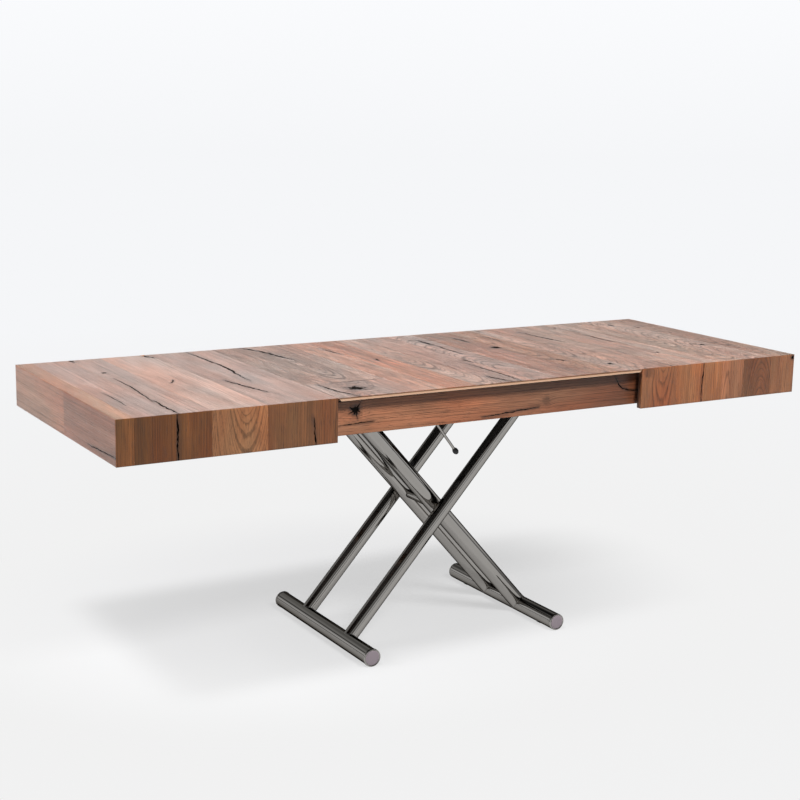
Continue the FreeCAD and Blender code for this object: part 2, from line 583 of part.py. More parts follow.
def gas_spring():
    """Lockable pull-type gas spring: body in its mount, rod with slotted clevis, valve pin."""
    length = "(cylinder_start + cylinder_end)"
    body = cylinder("gas_body", "cylinder_radius", length, ("-cylinder_start", "0", GAS_Z), "X")
    rod_room = cylinder("gas_rod_room", "rod_radius + running_fit", "rod_bore * 2",
                        ("cylinder_end - rod_bore", "0", GAS_Z), "X")
    pin_depth = "(valve_engagement + valve_travel_room)"
    pin_room = cylinder("gas_valve_room", "valve_radius + running_fit", f"{pin_depth} * 2",
                        (f"-cylinder_start - {pin_depth}", "0", GAS_Z), "X")
    node(cut("gas_body_bored", body, [rod_room, pin_room]), "gas_spring_cylinder")
    near = f"({CRANK_PIN_X} - clevis_length / 2)"
    rod = cylinder("gas_rod", "rod_radius", f"{near} - cylinder_end + rod_engagement",
                   ("cylinder_end - rod_engagement", "0", GAS_Z), "X")
    half_width = "(crank_half_gap - slot_clearance * 4)"
    block = box("clevis_block", ("clevis_length", f"{half_width} * 2", "clevis_height"),
                (near, f"-{half_width}", f"{GAS_Z} - clevis_height / 2"))
    slot_half = "(crank_pin_radius + slot_clearance)"
    slot_rise = f"({slot_half} + crank_radius * (1 - cos({HALF_FOLD})) / 2)"
    slot = box("clevis_slot", (f"{slot_half} * 2", "crank_half_gap * 2", f"{slot_rise} * 2"),
               (f"{CRANK_PIN_X} - {slot_half}", "-crank_half_gap", f"{GAS_Z} - {slot_rise}"))
    node(cut("gas_rod_end", fuse("gas_rod_blank", [rod, block]), [slot]), "gas_spring_rod")
    tip = f"({LEVER_X} + finger_thickness / 2 + valve_gap)"
    pin_length = f"(-cylinder_start + valve_engagement - {tip})"
    points = [("0", "0"), ("valve_radius / 3", "0"), ("valve_radius", "valve_radius"), ("valve_radius", pin_length),
              ("0", pin_length)]
    node(turned("valve", points, (tip, "0", GAS_Z), "X"), "gas_spring_valve_pin")
    start = f"({LEFT_BEAM_FACE} - beam_width)"
    top = f"({GAS_Z} + cylinder_radius + mount_wall)"
    cheek = box("mount_cheek", (f"-cylinder_start + collar_length - {start}", "mount_wall", f"{top} - {BEAM_TOP}"),
                (start, "mount_gap", BEAM_TOP))
    collar = box("mount_collar", ("collar_length", "(mount_gap + mount_wall) * 2",
                                  "(cylinder_radius + mount_wall) * 2"),
                 ("-cylinder_start", "-mount_gap - mount_wall", f"{GAS_Z} - cylinder_radius - mount_wall"))
    blank = fuse("mount_blank", [cheek, mirrored("mount_cheek_twin", cheek, (0, 1, 0)), collar])
    room = cylinder("mount_room", "cylinder_radius", "collar_length * 3",
                    ("-cylinder_start - collar_length", "0", GAS_Z), "X")
    node(cut("mount", blank, [room]), "gas_spring_mount")


def release_lever():
    """Lever, its cross shaft with the finger that presses the valve pin, and two bearings."""
    end = "(lever_y + lever_hub_length / 2)"
    shaft = cylinder("shaft", "lever_shaft_radius", f"{end} + finger_thickness / 2",
                     (LEVER_X, f"-{end}", LEVER_Z), "Y")
    hub = cylinder("shaft_hub", "lever_hub_radius", "lever_hub_length", (LEVER_X, f"-{end}", LEVER_Z), "Y")
    finger = box("shaft_finger", ("finger_thickness", "finger_thickness", f"{GAS_Z} + finger_overrun - {LEVER_Z}"),
                 (f"{LEVER_X} - finger_thickness / 2", "-finger_thickness / 2", LEVER_Z))
    node(fuse("shaft_whole", [shaft, hub, finger]), "lever_shaft")
    rod = cylinder("lever_rod_blank", "lever_radius", "lever_length - knob_length")
    room = cylinder("lever_hub_room", "lever_hub_radius", "lever_hub_length * 2",
                    ("0", "-lever_hub_length", "0"), "Y")
    turn = "lever_angle * 1 deg + 90 deg"
    at = (LEVER_X, "-lever_y", LEVER_Z)
    node(place(cut("lever_rod_fitted", rod, [room]), at, (0, 1, 0), turn), "lever_rod")
    shape = ((0.5, 0), (0.85, 0.2), (1, 0.45), (0.9, 0.7), (0.55, 0.93))
    points = [("0", "0")] + [(f"knob_radius * {wide}", f"knob_length * {high}") for wide, high in shape]
    points.append(("0", "knob_length"))
    knob = turned("knob", points, ("0", "0", "lever_length - knob_length"))
    node(place(group("knob_placed", [knob]), at, (0, 1, 0), turn), "lever_knob")
    blocks = []
    spots = (("front_bearing", "-lever_y + bearing_inset"), ("rear_bearing", "-rear_bearing_y - bearing_length"))
    for name, y in spots:
        block = box(name + "_block", ("lever_gap + lever_hub_radius", "bearing_length", "bearing_height"),
                    (LEFT_BEAM_FACE, y, f"{LEVER_Z} - bearing_height / 2"))
        hole = cylinder(name + "_hole", "lever_shaft_radius + running_fit", "bearing_length * 3",
                        (LEVER_X, f"{y} - bearing_length", LEVER_Z), "Y")
        blocks.append(cut(name, block, [hole]))
    node(group("bearings", blocks), "lever_bearings")


def wedge(name, first, second, start, end):
    """A board tapered along its own Y: rectangles (low, high in X; low, high in Z) at both faces."""
    item = DOC.addObject("Part::Wedge", name)
    values = (("Ymin", start), ("Ymax", end), ("Xmin", first[0]), ("Xmax", first[1]), ("Zmin", first[2]),
              ("Zmax", first[3]), ("X2min", second[0]), ("X2max", second[1]), ("Z2min", second[2]),
              ("Z2max", second[3]))
    for path, formula in values:
        link(item, path, formula)
    return item


def shells():
    """Pull-out shells: top board and three side boards, mitred where they meet, and two runners."""
    inner = f"-{SHELL_INNER}"
    skirt_top = "(table_height - skirt_thickness)"
    front = wedge("front_board", (f"-{HALF_LENGTH}", inner, SHELL_BOTTOM, "table_height"),
                  (f"-{HALF_LENGTH} + skirt_thickness", inner, SHELL_BOTTOM, skirt_top),
                  f"-{HALF_WIDTH}", f"-{HALF_WIDTH} + skirt_thickness")
    inside = f"({HALF_WIDTH} - skirt_thickness)"
    end = wedge("end_board", (f"-{inside}", inside, SHELL_BOTTOM, skirt_top),
                (f"-{HALF_WIDTH}", HALF_WIDTH, SHELL_BOTTOM, "table_height"),
                f"{HALF_LENGTH} - skirt_thickness", HALF_LENGTH)
    place(end, ORIGIN, (0, 0, 1), "90 deg")
    narrow = f"({HALF_WIDTH} - panel_thickness)"
    top = wedge("top_board", (f"-{HALF_LENGTH} + panel_thickness", inner, f"-{narrow}", narrow),
                (f"-{HALF_LENGTH}", inner, f"-{HALF_WIDTH}", HALF_WIDTH), PANEL_BOTTOM, "table_height")
    place(top, ORIGIN, (1, 0, 0), "90 deg")
    back = mirrored("back_board", front, (0, 1, 0))
    runner = box("runner", ("shell_length - skirt_thickness", "runner_thickness", f"{PANEL_BOTTOM} - {SLIDE_BOTTOM}"),
                 (f"-{HALF_LENGTH} + skirt_thickness", f"{RUNNER_FACE} - runner_thickness", SLIDE_BOTTOM))
    runners = both_sides("runner_pair", runner)
    pieces = (("top_panel", top), ("front_skirt", front), ("back_skirt", back), ("end_skirt", end),
              ("runners", runners))
    for name, item in pieces:
        node(item, f"left_{name}")
        node(mirrored(name + "_twin", item, (1, 0, 0)), f"right_{name}")


def leaves():
    """Insert leaves: pale core, brown face and battens with pins that drop into the aprons.
    The end beside a shell is undercut at 45 degrees, so the leaf can be lifted past it."""
    outer = f"-{SHELL_INNER} + leaf_gap"
    face_bottom = "(table_height - leaf_face_thickness)"

    def slab(name, low, high):
        points = [(f"{outer} + table_height - {low}", low), ("-leaf_gap / 2", low), ("-leaf_gap / 2", high),
                  (f"{outer} + table_height - {high}", high)]
        return place(padded(name, "XZ_Plane", points, "top_width"), ("0", f"-{HALF_WIDTH}", "0"))

    face = slab("leaf_face", face_bottom, "table_height")
    core = slab("leaf_core", LEAF_BOTTOM, face_bottom)
    batten_y = f"({APRON_FACE} - apron_thickness / 2 - batten_width / 2)"
    batten = box("batten", (f"{SHELL_INNER} - batten_setback * 2", "batten_width", f"{LEAF_BOTTOM} - {APRON_TOP}"),
                 (f"-{SHELL_INNER} + batten_setback", batten_y, APRON_TOP))
    pins = [cylinder(f"leaf_pin_{index}", "leaf_pin_radius", "leaf_pin_length",
                     (f"-{x}", f"{batten_y} + batten_width / 2", f"{APRON_TOP} - leaf_pin_length"))
            for index, x in enumerate(leaf_pin_places())]
    battens = both_sides("batten_pair", group("batten_with_pins", [batten] + pins))
    for name, item in (("face", face), ("core", core), ("battens", battens)):
        node(item, f"left_leaf_{name}")
        node(mirrored(f"leaf_{name}_twin", item, (1, 0, 0)), f"right_leaf_{name}")


def check_and_write():
    """Stop on any failed object or bad shape, then write one STEP file per sub-part."""
    DOC.recompute()
    for item in DOC.Objects:
        if "Invalid" in item.State or "Error" in item.State:
            raise RuntimeError(f"{item.Name} failed: {item.State}")
    for item in NODES:
        if item.Shape.isNull() or not item.Shape.isValid():
            raise RuntimeError(f"{item.Label} has a bad shape")
    os.makedirs("parts", exist_ok=True)
    for item in NODES:
        item.Shape.exportStep(f"parts/{item.Label}.step")
        print(f"{item.Label}: {len(item.Shape.Solids)} solids, {item.Shape.Volume / 1000:.1f} cm3")
    print(len(NODES), "sub-parts")


fill_sheet()
leg_frame_foot_caps()
outer_legs()
inner_legs()
floor_wheels()
track_rollers()
wooden_frame()
steel_subframe()
slides()
gas_spring()
release_lever()
shells()
leaves()
check_and_write()
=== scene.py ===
# %% [markdown]
# # A table with two heights and two lengths
# This lesson dresses a convertible coffee and dining table. Its steel tubes cross like scissors, and
# its top is made of reclaimed oak: a shell at each end, and two leaves between them that lift out so
# that the shells can slide in. The measured frame comes first, and every piece made here sits on it.

# %% Load the measured frame
import math
import random

import bmesh
import bpy
from mathutils import Matrix, Vector, noise


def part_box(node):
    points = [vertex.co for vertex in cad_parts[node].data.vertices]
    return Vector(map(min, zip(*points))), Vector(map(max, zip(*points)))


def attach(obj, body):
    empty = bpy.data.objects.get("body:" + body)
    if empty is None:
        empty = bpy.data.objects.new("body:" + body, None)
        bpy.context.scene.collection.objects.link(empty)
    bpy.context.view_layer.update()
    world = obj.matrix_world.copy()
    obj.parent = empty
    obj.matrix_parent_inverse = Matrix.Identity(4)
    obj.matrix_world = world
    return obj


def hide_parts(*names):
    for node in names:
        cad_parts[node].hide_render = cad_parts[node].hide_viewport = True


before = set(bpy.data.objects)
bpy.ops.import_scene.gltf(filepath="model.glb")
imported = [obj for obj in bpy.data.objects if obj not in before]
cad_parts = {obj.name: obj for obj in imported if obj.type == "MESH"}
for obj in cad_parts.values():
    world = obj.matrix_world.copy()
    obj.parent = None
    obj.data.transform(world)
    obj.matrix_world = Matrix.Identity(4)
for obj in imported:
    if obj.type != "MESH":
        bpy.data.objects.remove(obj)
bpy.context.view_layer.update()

bpy.context.scene.view_settings.view_transform = "Standard"

# %% [markdown]
# ## Camera
# A camera is a place, a direction and a lens. The direction is given as three turns: yaw to the side,
# pitch up or down, and a small roll. From them come the three axes of the camera's own frame, which
# are the columns of its matrix. The lens is given as a focal length in pixels of an 800 pixel image,
# and Blender wants it in millimetres on a sensor 36 mm wide.

# %% Camera
IMAGE_WIDTH = 800      # pixels
SENSOR_WIDTH = 36      # mm
FOCAL_PIXELS = 1520.8
CAMERA_PLACE = Vector((-2.3148, -3.7807, 1.5821))
YAW, PITCH, ROLL = 0.5346, -0.2004, 0.0185     # radians


def put_in_scene(name, data):
    """Make an object at the origin from a mesh, a lamp, a camera or a curve."""
    item = bpy.data.objects.new(name, data)
    bpy.context.scene.collection.objects.link(item)
    return item


def aim_camera(place, yaw, pitch, roll, focal_pixels):
    """Add the scene's camera at a place, turned by yaw, pitch and roll."""
    forward = Vector((math.cos(pitch) * math.sin(yaw), math.cos(pitch) * math.cos(yaw), math.sin(pitch)))
    level = Vector((math.cos(yaw), -math.sin(yaw), 0))
    upright = level.cross(forward)
    right = math.cos(roll) * level + math.sin(roll) * upright
    up = math.cos(roll) * upright - math.sin(roll) * level
    data = bpy.data.cameras.new("camera")
    data.sensor_width = SENSOR_WIDTH
    data.lens = focal_pixels * data.sensor_width / IMAGE_WIDTH
    camera = put_in_scene("camera", data)
    camera.matrix_world = Matrix.Translation(place) @ Matrix((right, up, -forward)).transposed().to_4x4()
    bpy.context.scene.camera = camera
    return camera


camera = aim_camera(CAMERA_PLACE, YAW, PITCH, ROLL, FOCAL_PIXELS)
print(f"camera: {camera.data.lens:.1f} mm lens")

# %% [markdown]
# ## Two helpers for materials
# Colours are written as sRGB hex values, as a paint chart gives them, but shaders add and multiply
# light, so the numbers have to be linear. One function turns them. The other adds a node: it sets the
# node's settings, and gives each socket either a value or a link from another node. A node given whole
# stands for its first output in use.

# %% Colour and node helpers
def paint(hex_colour):
    """Linear red, green, blue and alpha of an sRGB hex colour."""
    values = [int(hex_colour[i:i + 2], 16) / 255 for i in (1, 3, 5)]
    return [v / 12.92 if v <= 0.04045 else ((v + 0.055) / 1.055) ** 2.4 for v in values] + [1.0]


def add(tree, kind, sockets=(), **settings):
    """Add a shader node to a tree. Sockets, in order or by key, are values or what to link to them."""
    node = tree.nodes.new("ShaderNode" + kind)
    for name, value in settings.items():
        setattr(node, name, value)
    for key, value in sockets.items() if isinstance(sockets, dict) else enumerate(sockets):
        if isinstance(value, bpy.types.Node):
            value = next(output for output in value.outputs if output.enabled)
        if isinstance(value, bpy.types.NodeSocket):
            tree.links.new(value, node.inputs[key])
        else:
            node.inputs[key].default_value = value
    return node


def new_material(name):
    """An empty material and its node tree."""
    material = bpy.data.materials.new(name)
    material.use_nodes = True
    material.node_tree.nodes.clear()
    return material, material.node_tree


print("white in linear light:", paint("#FFFFFF"))

# %% [markdown]
# ## Light
# A photographer lights furniture with large soft boxes and stands it on a seamless white floor. Here
# the world gives an even fill, and area lamps give it a direction: a key light high up at the front
# left, a low one at the left end and one at the front. What the camera sees behind the table is a
# colour of its own, picked with Light Path, so that the background can be pale without more light
# falling on the wood. Mirrors see a room of their own and no lamps: pale like the backdrop, crossed by
# dark and bright screens at set heights, and nearly black at the ceiling, which gives a tube its dark
# side.

# %% World and lamps
BACKDROP_LOW, BACKDROP_HIGH = "#F5F6F8", "#FBFCFE"
WALL_TOP, CEILING = "#A5A5A4", "#121314"
FILL, FILL_STRENGTH = "#F6F6F8", 0.21
# heights of a direction between which the backdrop, the mirrored wall and the ceiling come in
BACKDROP_RISE, WALL_RISE, CEILING_RISE = (-0.04, 0.08), (0.02, 0.44), (0.49, 0.66)
# the screens in the mirrored room: height of a direction, and how bright the room is there
SCREENS = ((0.0, 1.0), (0.015, 0.30), (0.09, 0.30), (0.12, 1.20), (0.30, 1.20), (0.335, 0.25),
           (0.41, 0.25), (0.45, 1.10))


def set_greys(ramp, stops):
    """Give a colour ramp its stops, as pairs of a position and a grey."""
    marks = ramp.color_ramp.elements
    for index, (position, grey) in enumerate(stops):
        mark = marks[index] if index < 2 else marks.new(position)
        mark.position, mark.color = position, (grey, grey, grey, 1)


def make_world():
    """The backdrop that the eye sees, the room that mirrors see, and the even fill on everything."""
    world = bpy.data.worlds.new("studio")
    bpy.context.scene.world = world
    world.use_nodes = True
    tree = world.node_tree
    tree.nodes.clear()
    way = add(tree, "TexCoord").outputs["Generated"]
    height = add(tree, "SeparateXYZ", [way]).outputs["Z"]
    rise = add(tree, "MapRange", [height, *BACKDROP_RISE])
    sweep = add(tree, "Mix", {0: rise, 6: paint(BACKDROP_LOW), 7: paint(BACKDROP_HIGH)}, data_type="RGBA")
    wall = add(tree, "MapRange", [height, *WALL_RISE])
    room = add(tree, "Mix", {0: wall, 6: sweep, 7: paint(WALL_TOP)}, data_type="RGBA")
    screens = add(tree, "ValToRGB", [height])
    set_greys(screens, SCREENS)
    room = add(tree, "Mix", {0: 1.0, 6: room, 7: screens}, data_type="RGBA", blend_type="MULTIPLY")
    overhead = add(tree, "MapRange", [height, *CEILING_RISE], interpolation_type="SMOOTHSTEP")
    room = add(tree, "Mix", {0: overhead, 6: room, 7: paint(CEILING)}, data_type="RGBA")
    path = add(tree, "LightPath").outputs
    shiny = add(tree, "Math", [path["Is Glossy Ray"], path["Is Transmission Ray"]], operation="MAXIMUM")
    fill, mirrored, seen = [add(tree, "Background", [colour, strength]) for colour, strength in
                            ((paint(FILL), FILL_STRENGTH), (room, 1.0), (sweep, 1.0))]
    unseen = add(tree, "MixShader", [shiny, fill, mirrored])
    add(tree, "OutputWorld", [add(tree, "MixShader", [path["Is Camera Ray"], unseen, seen])])


def facing(place, way, axis="Z"):
    """The matrix that puts a thing at a place and turns its own axis along a direction."""
    return Matrix.Translation(place) @ Vector(way).to_track_quat(axis, "Y").to_matrix().to_4x4()


def area_lamp(name, place, target, size, watts):
    """A soft box that looks from its place at a target."""
    data = bpy.data.lights.new(name, "AREA")
    data.shape = "RECTANGLE"
    data.size, data.size_y = size
    data.energy = watts
    lamp = put_in_scene(name, data)
    lamp.visible_glossy = False     # a lamp would make stray sparks on the tubes
    lamp.matrix_world = facing(place, Vector(target) - Vector(place), "-Z")


make_world()
area_lamp("key_box", (-4.8, -2.6, 12.0), (0, 0, 0.8), (2.2, 2.0), 1180)
area_lamp("left_box", (-3.4, 0.5, 2.6), (-0.4, 0, 0.5), (1.6, 1.6), 72)
area_lamp("front_box", (0.2, -3.7, 4.1), (0, 0, 0.7), (2.0, 0.8), 190)

# %% [markdown]
# ## Floor
# The floor is a wide disc that catches the table's soft shadow. Past a few metres it turns into the
# backdrop's own colour, so no horizon shows. Radial distance on Object coordinates drives that mix.

# %% Floor
FLOOR_RADIUS = 14.0
NEAR, FAR = 0.52, 1.35     # the lit floor ends between these distances, in metres
LOST = 7.0             # and from here on it has the backdrop's colour
OVAL, OVAL_SHIFT = (1, 1.25, 1), (0.12, -0.375, 0)     # the lit floor is an oval round the table
FLOOR_PAINT, FLOOR_FAR = "#8D8D8E", "#F1F1F1"
FLOOR_LIFT = 0.55      # light added for the eye and for mirrors, so that the floor reads as white


def make_floor():
    """A disc that takes the table's shadow and fades into the backdrop."""
    bm = bmesh.new()
    bmesh.ops.create_circle(bm, cap_ends=True, radius=FLOOR_RADIUS, segments=96)
    mesh = bpy.data.meshes.new("floor")
    bm.to_mesh(mesh)
    bm.free()
    floor = put_in_scene("floor", mesh)
    material, tree = new_material("white_studio_floor")
    place = add(tree, "TexCoord").outputs["Object"]
    oval = add(tree, "VectorMath", [place, OVAL, OVAL_SHIFT], operation="MULTIPLY_ADD")
    distance = add(tree, "VectorMath", [oval], operation="LENGTH")
    path = add(tree, "LightPath").outputs
    eye = add(tree, "Math", [path["Is Camera Ray"], path["Is Glossy Ray"]], operation="MAXIMUM")
    eye = add(tree, "Math", [eye, path["Is Transmission Ray"]], operation="MAXIMUM")
    lift = add(tree, "Math", [eye, FLOOR_LIFT], operation="MULTIPLY")
    near = add(tree, "AddShader", [add(tree, "BsdfDiffuse", [paint(FLOOR_PAINT)]),
                                   add(tree, "Emission", [paint("#FFFFFF"), lift])])
    level = add(tree, "MapRange", {0: eye, "To Min": FILL_STRENGTH, "To Max": 1.0})
    away = add(tree, "MapRange", [distance, FAR, LOST])
    sweep = add(tree, "Mix", {0: away, 6: paint(FLOOR_FAR), 7: paint(BACKDROP_LOW)}, data_type="RGBA")
    fade = add(tree, "MapRange", [distance, NEAR, FAR], interpolation_type="SMOOTHSTEP")
    both = add(tree, "MixShader", [fade, near, add(tree, "Emission", [sweep, level])])
    add(tree, "OutputMaterial", [both])
    mesh.materials.append(material)


make_floor()
print("floor radius", FLOOR_RADIUS, "m")

# %% [markdown]
# ## Reclaimed oak
# Oak that has served as beams or flooring is brown rather than yellow, each piece of another tone,
# with open pores, dark checks and knots. A saw cuts through growth rings, which are cylinders around
# the tree's heart, so the figure on a board is where its face meets those cylinders. The shader draws
# exactly that: each board carries an attribute called timber, its place in the tree, with X and Y
# across the trunk and Z along the fibres. The distance from the heart gives the rings, and where the
# board slants against the trunk they close into the flame shape of a flat-sawn board. The other
# attributes are the board's own tone, and a stain that darkens the wood beside a check or a knot; the
# same attribute carries painted shade, which turns the hidden back of a board near black.

# %% The oak material
RING_MM = 4.2          # growth rings of oak are 2 to 5 mm apart
FIBRE_MM = 2.4         # bundles of fibres, drawn coarser than the real 0.5 mm so that they show
STREAK_MM = 14.0       # broader streaks, where the trunk grew fast or slowly
PORE_MM = 0.9          # open pores are 0.3 mm wide; drawn three times as wide so that they show
PATCH_MM = 55.0        # weathered patches, darker or paler than the rest
WARM_MM = 44.0         # clouds of redder heartwood beside greyer wood
BRUSH_MM = 6.5         # grooves that brushing leaves where the soft wood was
DASH_MM = 4.0          # short dashes along the fibre: painted glints and painted shade of the brushed relief
PAINTED_SHADE_DASHES = 0.62       # how much darker the painted shade in them is, on a board whose figure is 1 above the threshold
PAINTED_GLINT_SLIVERS = 0.34       # and how much paler the painted glints between them are
PAINTED_GLINTS_FROM = 0.8     # a board whose figure is stronger than this shows the painted glints and shade
RAGGED = 0.5           # how ragged the edge of a ring is, in rings
UNEVEN = 3.2           # how far the width of the rings wanders, in rings
WANDER = 0.014         # how far the heart wanders along the trunk, in metres
PORE_DARK = 0.40
# each ring starts with a dark porous band and fades to dense, paler wood
RING_GREYS = ((0.0, 0.56), (0.10, 0.64), (0.28, 1.02), (0.88, 1.06), (1.0, 0.60))
WEATHER = (0.88, 0.81, 0.77, 1), (1.18, 1.19, 1.20, 1)     # what darker and paler patches do to the tone
HUE = (1.13, 0.96, 0.88, 1), (0.90, 1.02, 1.10, 1)         # and what redder and greyer clouds do


def stretched(tree, source, across, along, **sockets):
    """A noise whose features are across metres wide and along metres long, down the fibre."""
    way = add(tree, "VectorMath", [source, (1, 1, across / along)], operation="MULTIPLY")
    return add(tree, "TexNoise", {"Vector": way, "Scale": 0.5 / across, **sockets})


def oak(name, tone=None, fibre=None):
    """Oiled reclaimed oak. Boards made here bring attributes; a solid gets a tone and a fibre axis."""
    material, tree = new_material(name)
    if fibre:
        parts = add(tree, "SeparateXYZ", [add(tree, "TexCoord").outputs["Object"]]).outputs
        timber = add(tree, "CombineXYZ", [parts[letter] for letter in {"X": "YZX", "Y": "XZY"}[fibre]])
        tone_colour = add(tree, "RGB").outputs[0]
        tone_colour.default_value = paint(tone)
        stain_and_shade, figure = None, 1.0
    else:
        timber = add(tree, "Attribute", attribute_name="timber").outputs["Vector"]
        tone_at = add(tree, "Attribute", attribute_name="tone").outputs
        tone_colour, figure = tone_at["Color"], tone_at["Alpha"]
        # this attribute holds the stain beside checks and knots, and painted shade on a board's hidden back
        stain_and_shade = add(tree, "Attribute", attribute_name="stain_and_shade").outputs["Fac"]
    # the trunk wanders: a slow noise shifts the rings sideways
    wander = stretched(tree, timber, 0.080, 0.45, Detail=1.0).outputs["Color"]
    centred = add(tree, "VectorMath", [wander, (0.5, 0.5, 0.5)], operation="SUBTRACT")
    shift = add(tree, "VectorMath", [centred, (WANDER, WANDER, 0)], operation="MULTIPLY")
    moved = add(tree, "VectorMath", [timber, shift], operation="ADD")
    flat = add(tree, "VectorMath", [moved, (1, 1, 0)], operation="MULTIPLY")
    heart = add(tree, "VectorMath", [flat], operation="LENGTH")
    count = add(tree, "Math", [heart, 1000 / RING_MM], operation="MULTIPLY")
    # rings are not equally wide
    uneven = add(tree, "TexNoise", {"W": count, "Scale": 0.35, "Detail": 2.0}, noise_dimensions="1D")
    count = add(tree, "Math", [uneven, UNEVEN, count], operation="MULTIPLY_ADD")
    # and their edges are ragged, because each vessel is a little nearer or further than the next
    fibres = stretched(tree, moved, FIBRE_MM / 1000, 0.10, Detail=5.0, Roughness=0.65)
    count = add(tree, "Math", [fibres, RAGGED, count], operation="MULTIPLY_ADD")
    band = add(tree, "ValToRGB", [add(tree, "Math", [count], operation="FRACT")])
    set_greys(band, RING_GREYS)
    seasons = add(tree, "TexNoise", {"W": count, "Scale": 0.16, "Detail": 1.0}, noise_dimensions="1D")
    streaks = stretched(tree, moved, STREAK_MM / 1000, 0.35, Detail=3.0)
    grooves = stretched(tree, moved, BRUSH_MM / 1000, 0.075, Detail=2.0, Roughness=0.7)
    warmth = stretched(tree, moved, WARM_MM / 1000, 0.17, Detail=3.0)
    # the pattern of the painted glints and painted shade of the brushed relief
    glint_and_shade_dashes = stretched(tree, timber, DASH_MM / 1000, 0.060, Detail=1.0)
    pores = stretched(tree, timber, PORE_MM / 1000, 0.018, Detail=1.0)
    patches = stretched(tree, timber, PATCH_MM / 1000, 0.22, Detail=3.0, Roughness=0.6)
    # pores crowd together at the start of each ring
    crowd = add(tree, "Math", [band, -0.22, pores], operation="MULTIPLY_ADD")
    pore_dark = add(tree, "MapRange", [crowd, 0.38, 0.48, 0.0, 1.0])
    # factors that average to about 1, so that the tone stays the board's mean colour
    lines = add(tree, "MapRange", [fibres, 0.25, 0.75, 0.84, 1.18])
    for pattern, low, high, dark, pale in ((streaks, 0.30, 0.70, 0.90, 1.10), (seasons, 0.3, 0.7, 0.90, 1.11),
                                           (grooves, 0.32, 0.68, 0.83, 1.14)):
        factor = add(tree, "MapRange", [pattern, low, high, dark, pale])
        lines = add(tree, "Math", [lines, factor], operation="MULTIPLY")
    lines = add(tree, "Math", [lines, band], operation="MULTIPLY")
    lines = add(tree, "Math", [lines, figure], operation="POWER")
    wood = add(tree, "Mix", {0: 1.0, 6: tone_colour, 7: lines}, data_type="RGBA", blend_type="MULTIPLY")
    for pattern, (dark, pale) in ((patches, WEATHER), (warmth, HUE)):
        amount = add(tree, "MapRange", [pattern, 0.36, 0.64, 0.0, 1.0])
        tint = add(tree, "Mix", {0: amount, 6: dark, 7: pale}, data_type="RGBA")
        wood = add(tree, "Mix", {0: 1.0, 6: wood, 7: tint}, data_type="RGBA", blend_type="MULTIPLY")
    pore_amount = add(tree, "Math", [pore_dark, PORE_DARK], operation="MULTIPLY")
    wood = add(tree, "Mix", {0: pore_amount, 6: wood, 7: paint("#331F12")}, data_type="RGBA")
    # painted glints and painted shade of the brushed relief: pale slivers and dark dashes beside each other
    painted_brush_light = add(tree, "Math", [figure, -PAINTED_GLINTS_FROM], operation="ADD", use_clamp=True)
    pale = add(tree, "MapRange", [glint_and_shade_dashes, 0.32, 0.44, PAINTED_GLINT_SLIVERS, 0.0])
    pale = add(tree, "Math", [pale, painted_brush_light, 1.0], operation="MULTIPLY_ADD")
    wood = add(tree, "Mix", {0: 1.0, 6: wood, 7: pale}, data_type="RGBA", blend_type="MULTIPLY")
    dark = add(tree, "MapRange", [glint_and_shade_dashes, 0.55, 0.68, 0.0, PAINTED_SHADE_DASHES])
    dark = add(tree, "Math", [dark, painted_brush_light], operation="MULTIPLY")
    wood = add(tree, "Mix", {0: dark, 6: wood, 7: paint("#2A1A12")}, data_type="RGBA")
    # stain beside checks and knots, and painted shade on hidden backs, turn the wood near black
    if stain_and_shade:
        ragged = add(tree, "MapRange", [fibres, 0.25, 0.75, 0.3, 1.7])
        ragged = add(tree, "Math", [stain_and_shade, ragged], operation="MULTIPLY", use_clamp=True)
        wood = add(tree, "Mix", {0: ragged, 6: wood, 7: paint("#1A100B")}, data_type="RGBA")
    # dense wood takes a shine from the oil, porous wood soaks it up
    rough = add(tree, "MapRange", [lines, 0.4, 1.5, 0.48, 0.24])
    relief = add(tree, "Mix", {0: 0.30, 2: band, 3: streaks}, data_type="FLOAT")
    relief = add(tree, "Math", [relief, pore_dark], operation="SUBTRACT")
    bump = add(tree, "Bump", {"Height": relief, "Strength": 0.5, "Distance": 0.0008})
    surface = add(tree, "BsdfPrincipled", {
        "Base Color": wood, "Roughness": rough, "Normal": bump, "IOR": 1.5, "Sheen Weight": 0.8,
        "Sheen Roughness": 0.26, "Sheen Tint": paint("#FFF6F2")})
    add(tree, "OutputMaterial", [surface])
    return material


board_oak = oak("oiled_reclaimed_oak")


def filler():
    """Checks and knots are filled with black resin that dries a little below the wood."""
    material, tree = new_material("black_resin_filler")
    place = add(tree, "TexCoord").outputs["Object"]
    grit = add(tree, "TexNoise", {"Vector": place, "Scale": 600.0, "Detail": 3.0})
    tint = add(tree, "Mix", {0: grit, 6: paint("#0B0908"), 7: paint("#1E1713")}, data_type="RGBA")
    bump = add(tree, "Bump", {"Height": grit, "Strength": 0.5, "Distance": 0.0004})
    surface = add(tree, "BsdfPrincipled", {"Base Color": tint, "Roughness": 0.85, "Specular IOR Level": 0.15,
                                           "Normal": bump})
    add(tree, "OutputMaterial", [surface])
    return material


crack_black = filler()
print("materials so far:", [m.name for m in bpy.data.materials])

# %% [markdown]
# ## One board
# A board starts as a cube brought to size. Its inner edges are moved back where it meets a neighbour
# at a mitre, its long edges get a hair of a bevel, and the corners that a hand touches are rounded by
# slicing them with three planes, as a router would: the same planes cut every board of a shell, so
# the mitres stay closed. Then it is sliced into cells of a few millimetres, because the stain beside a
# check is stored on the points of the mesh.

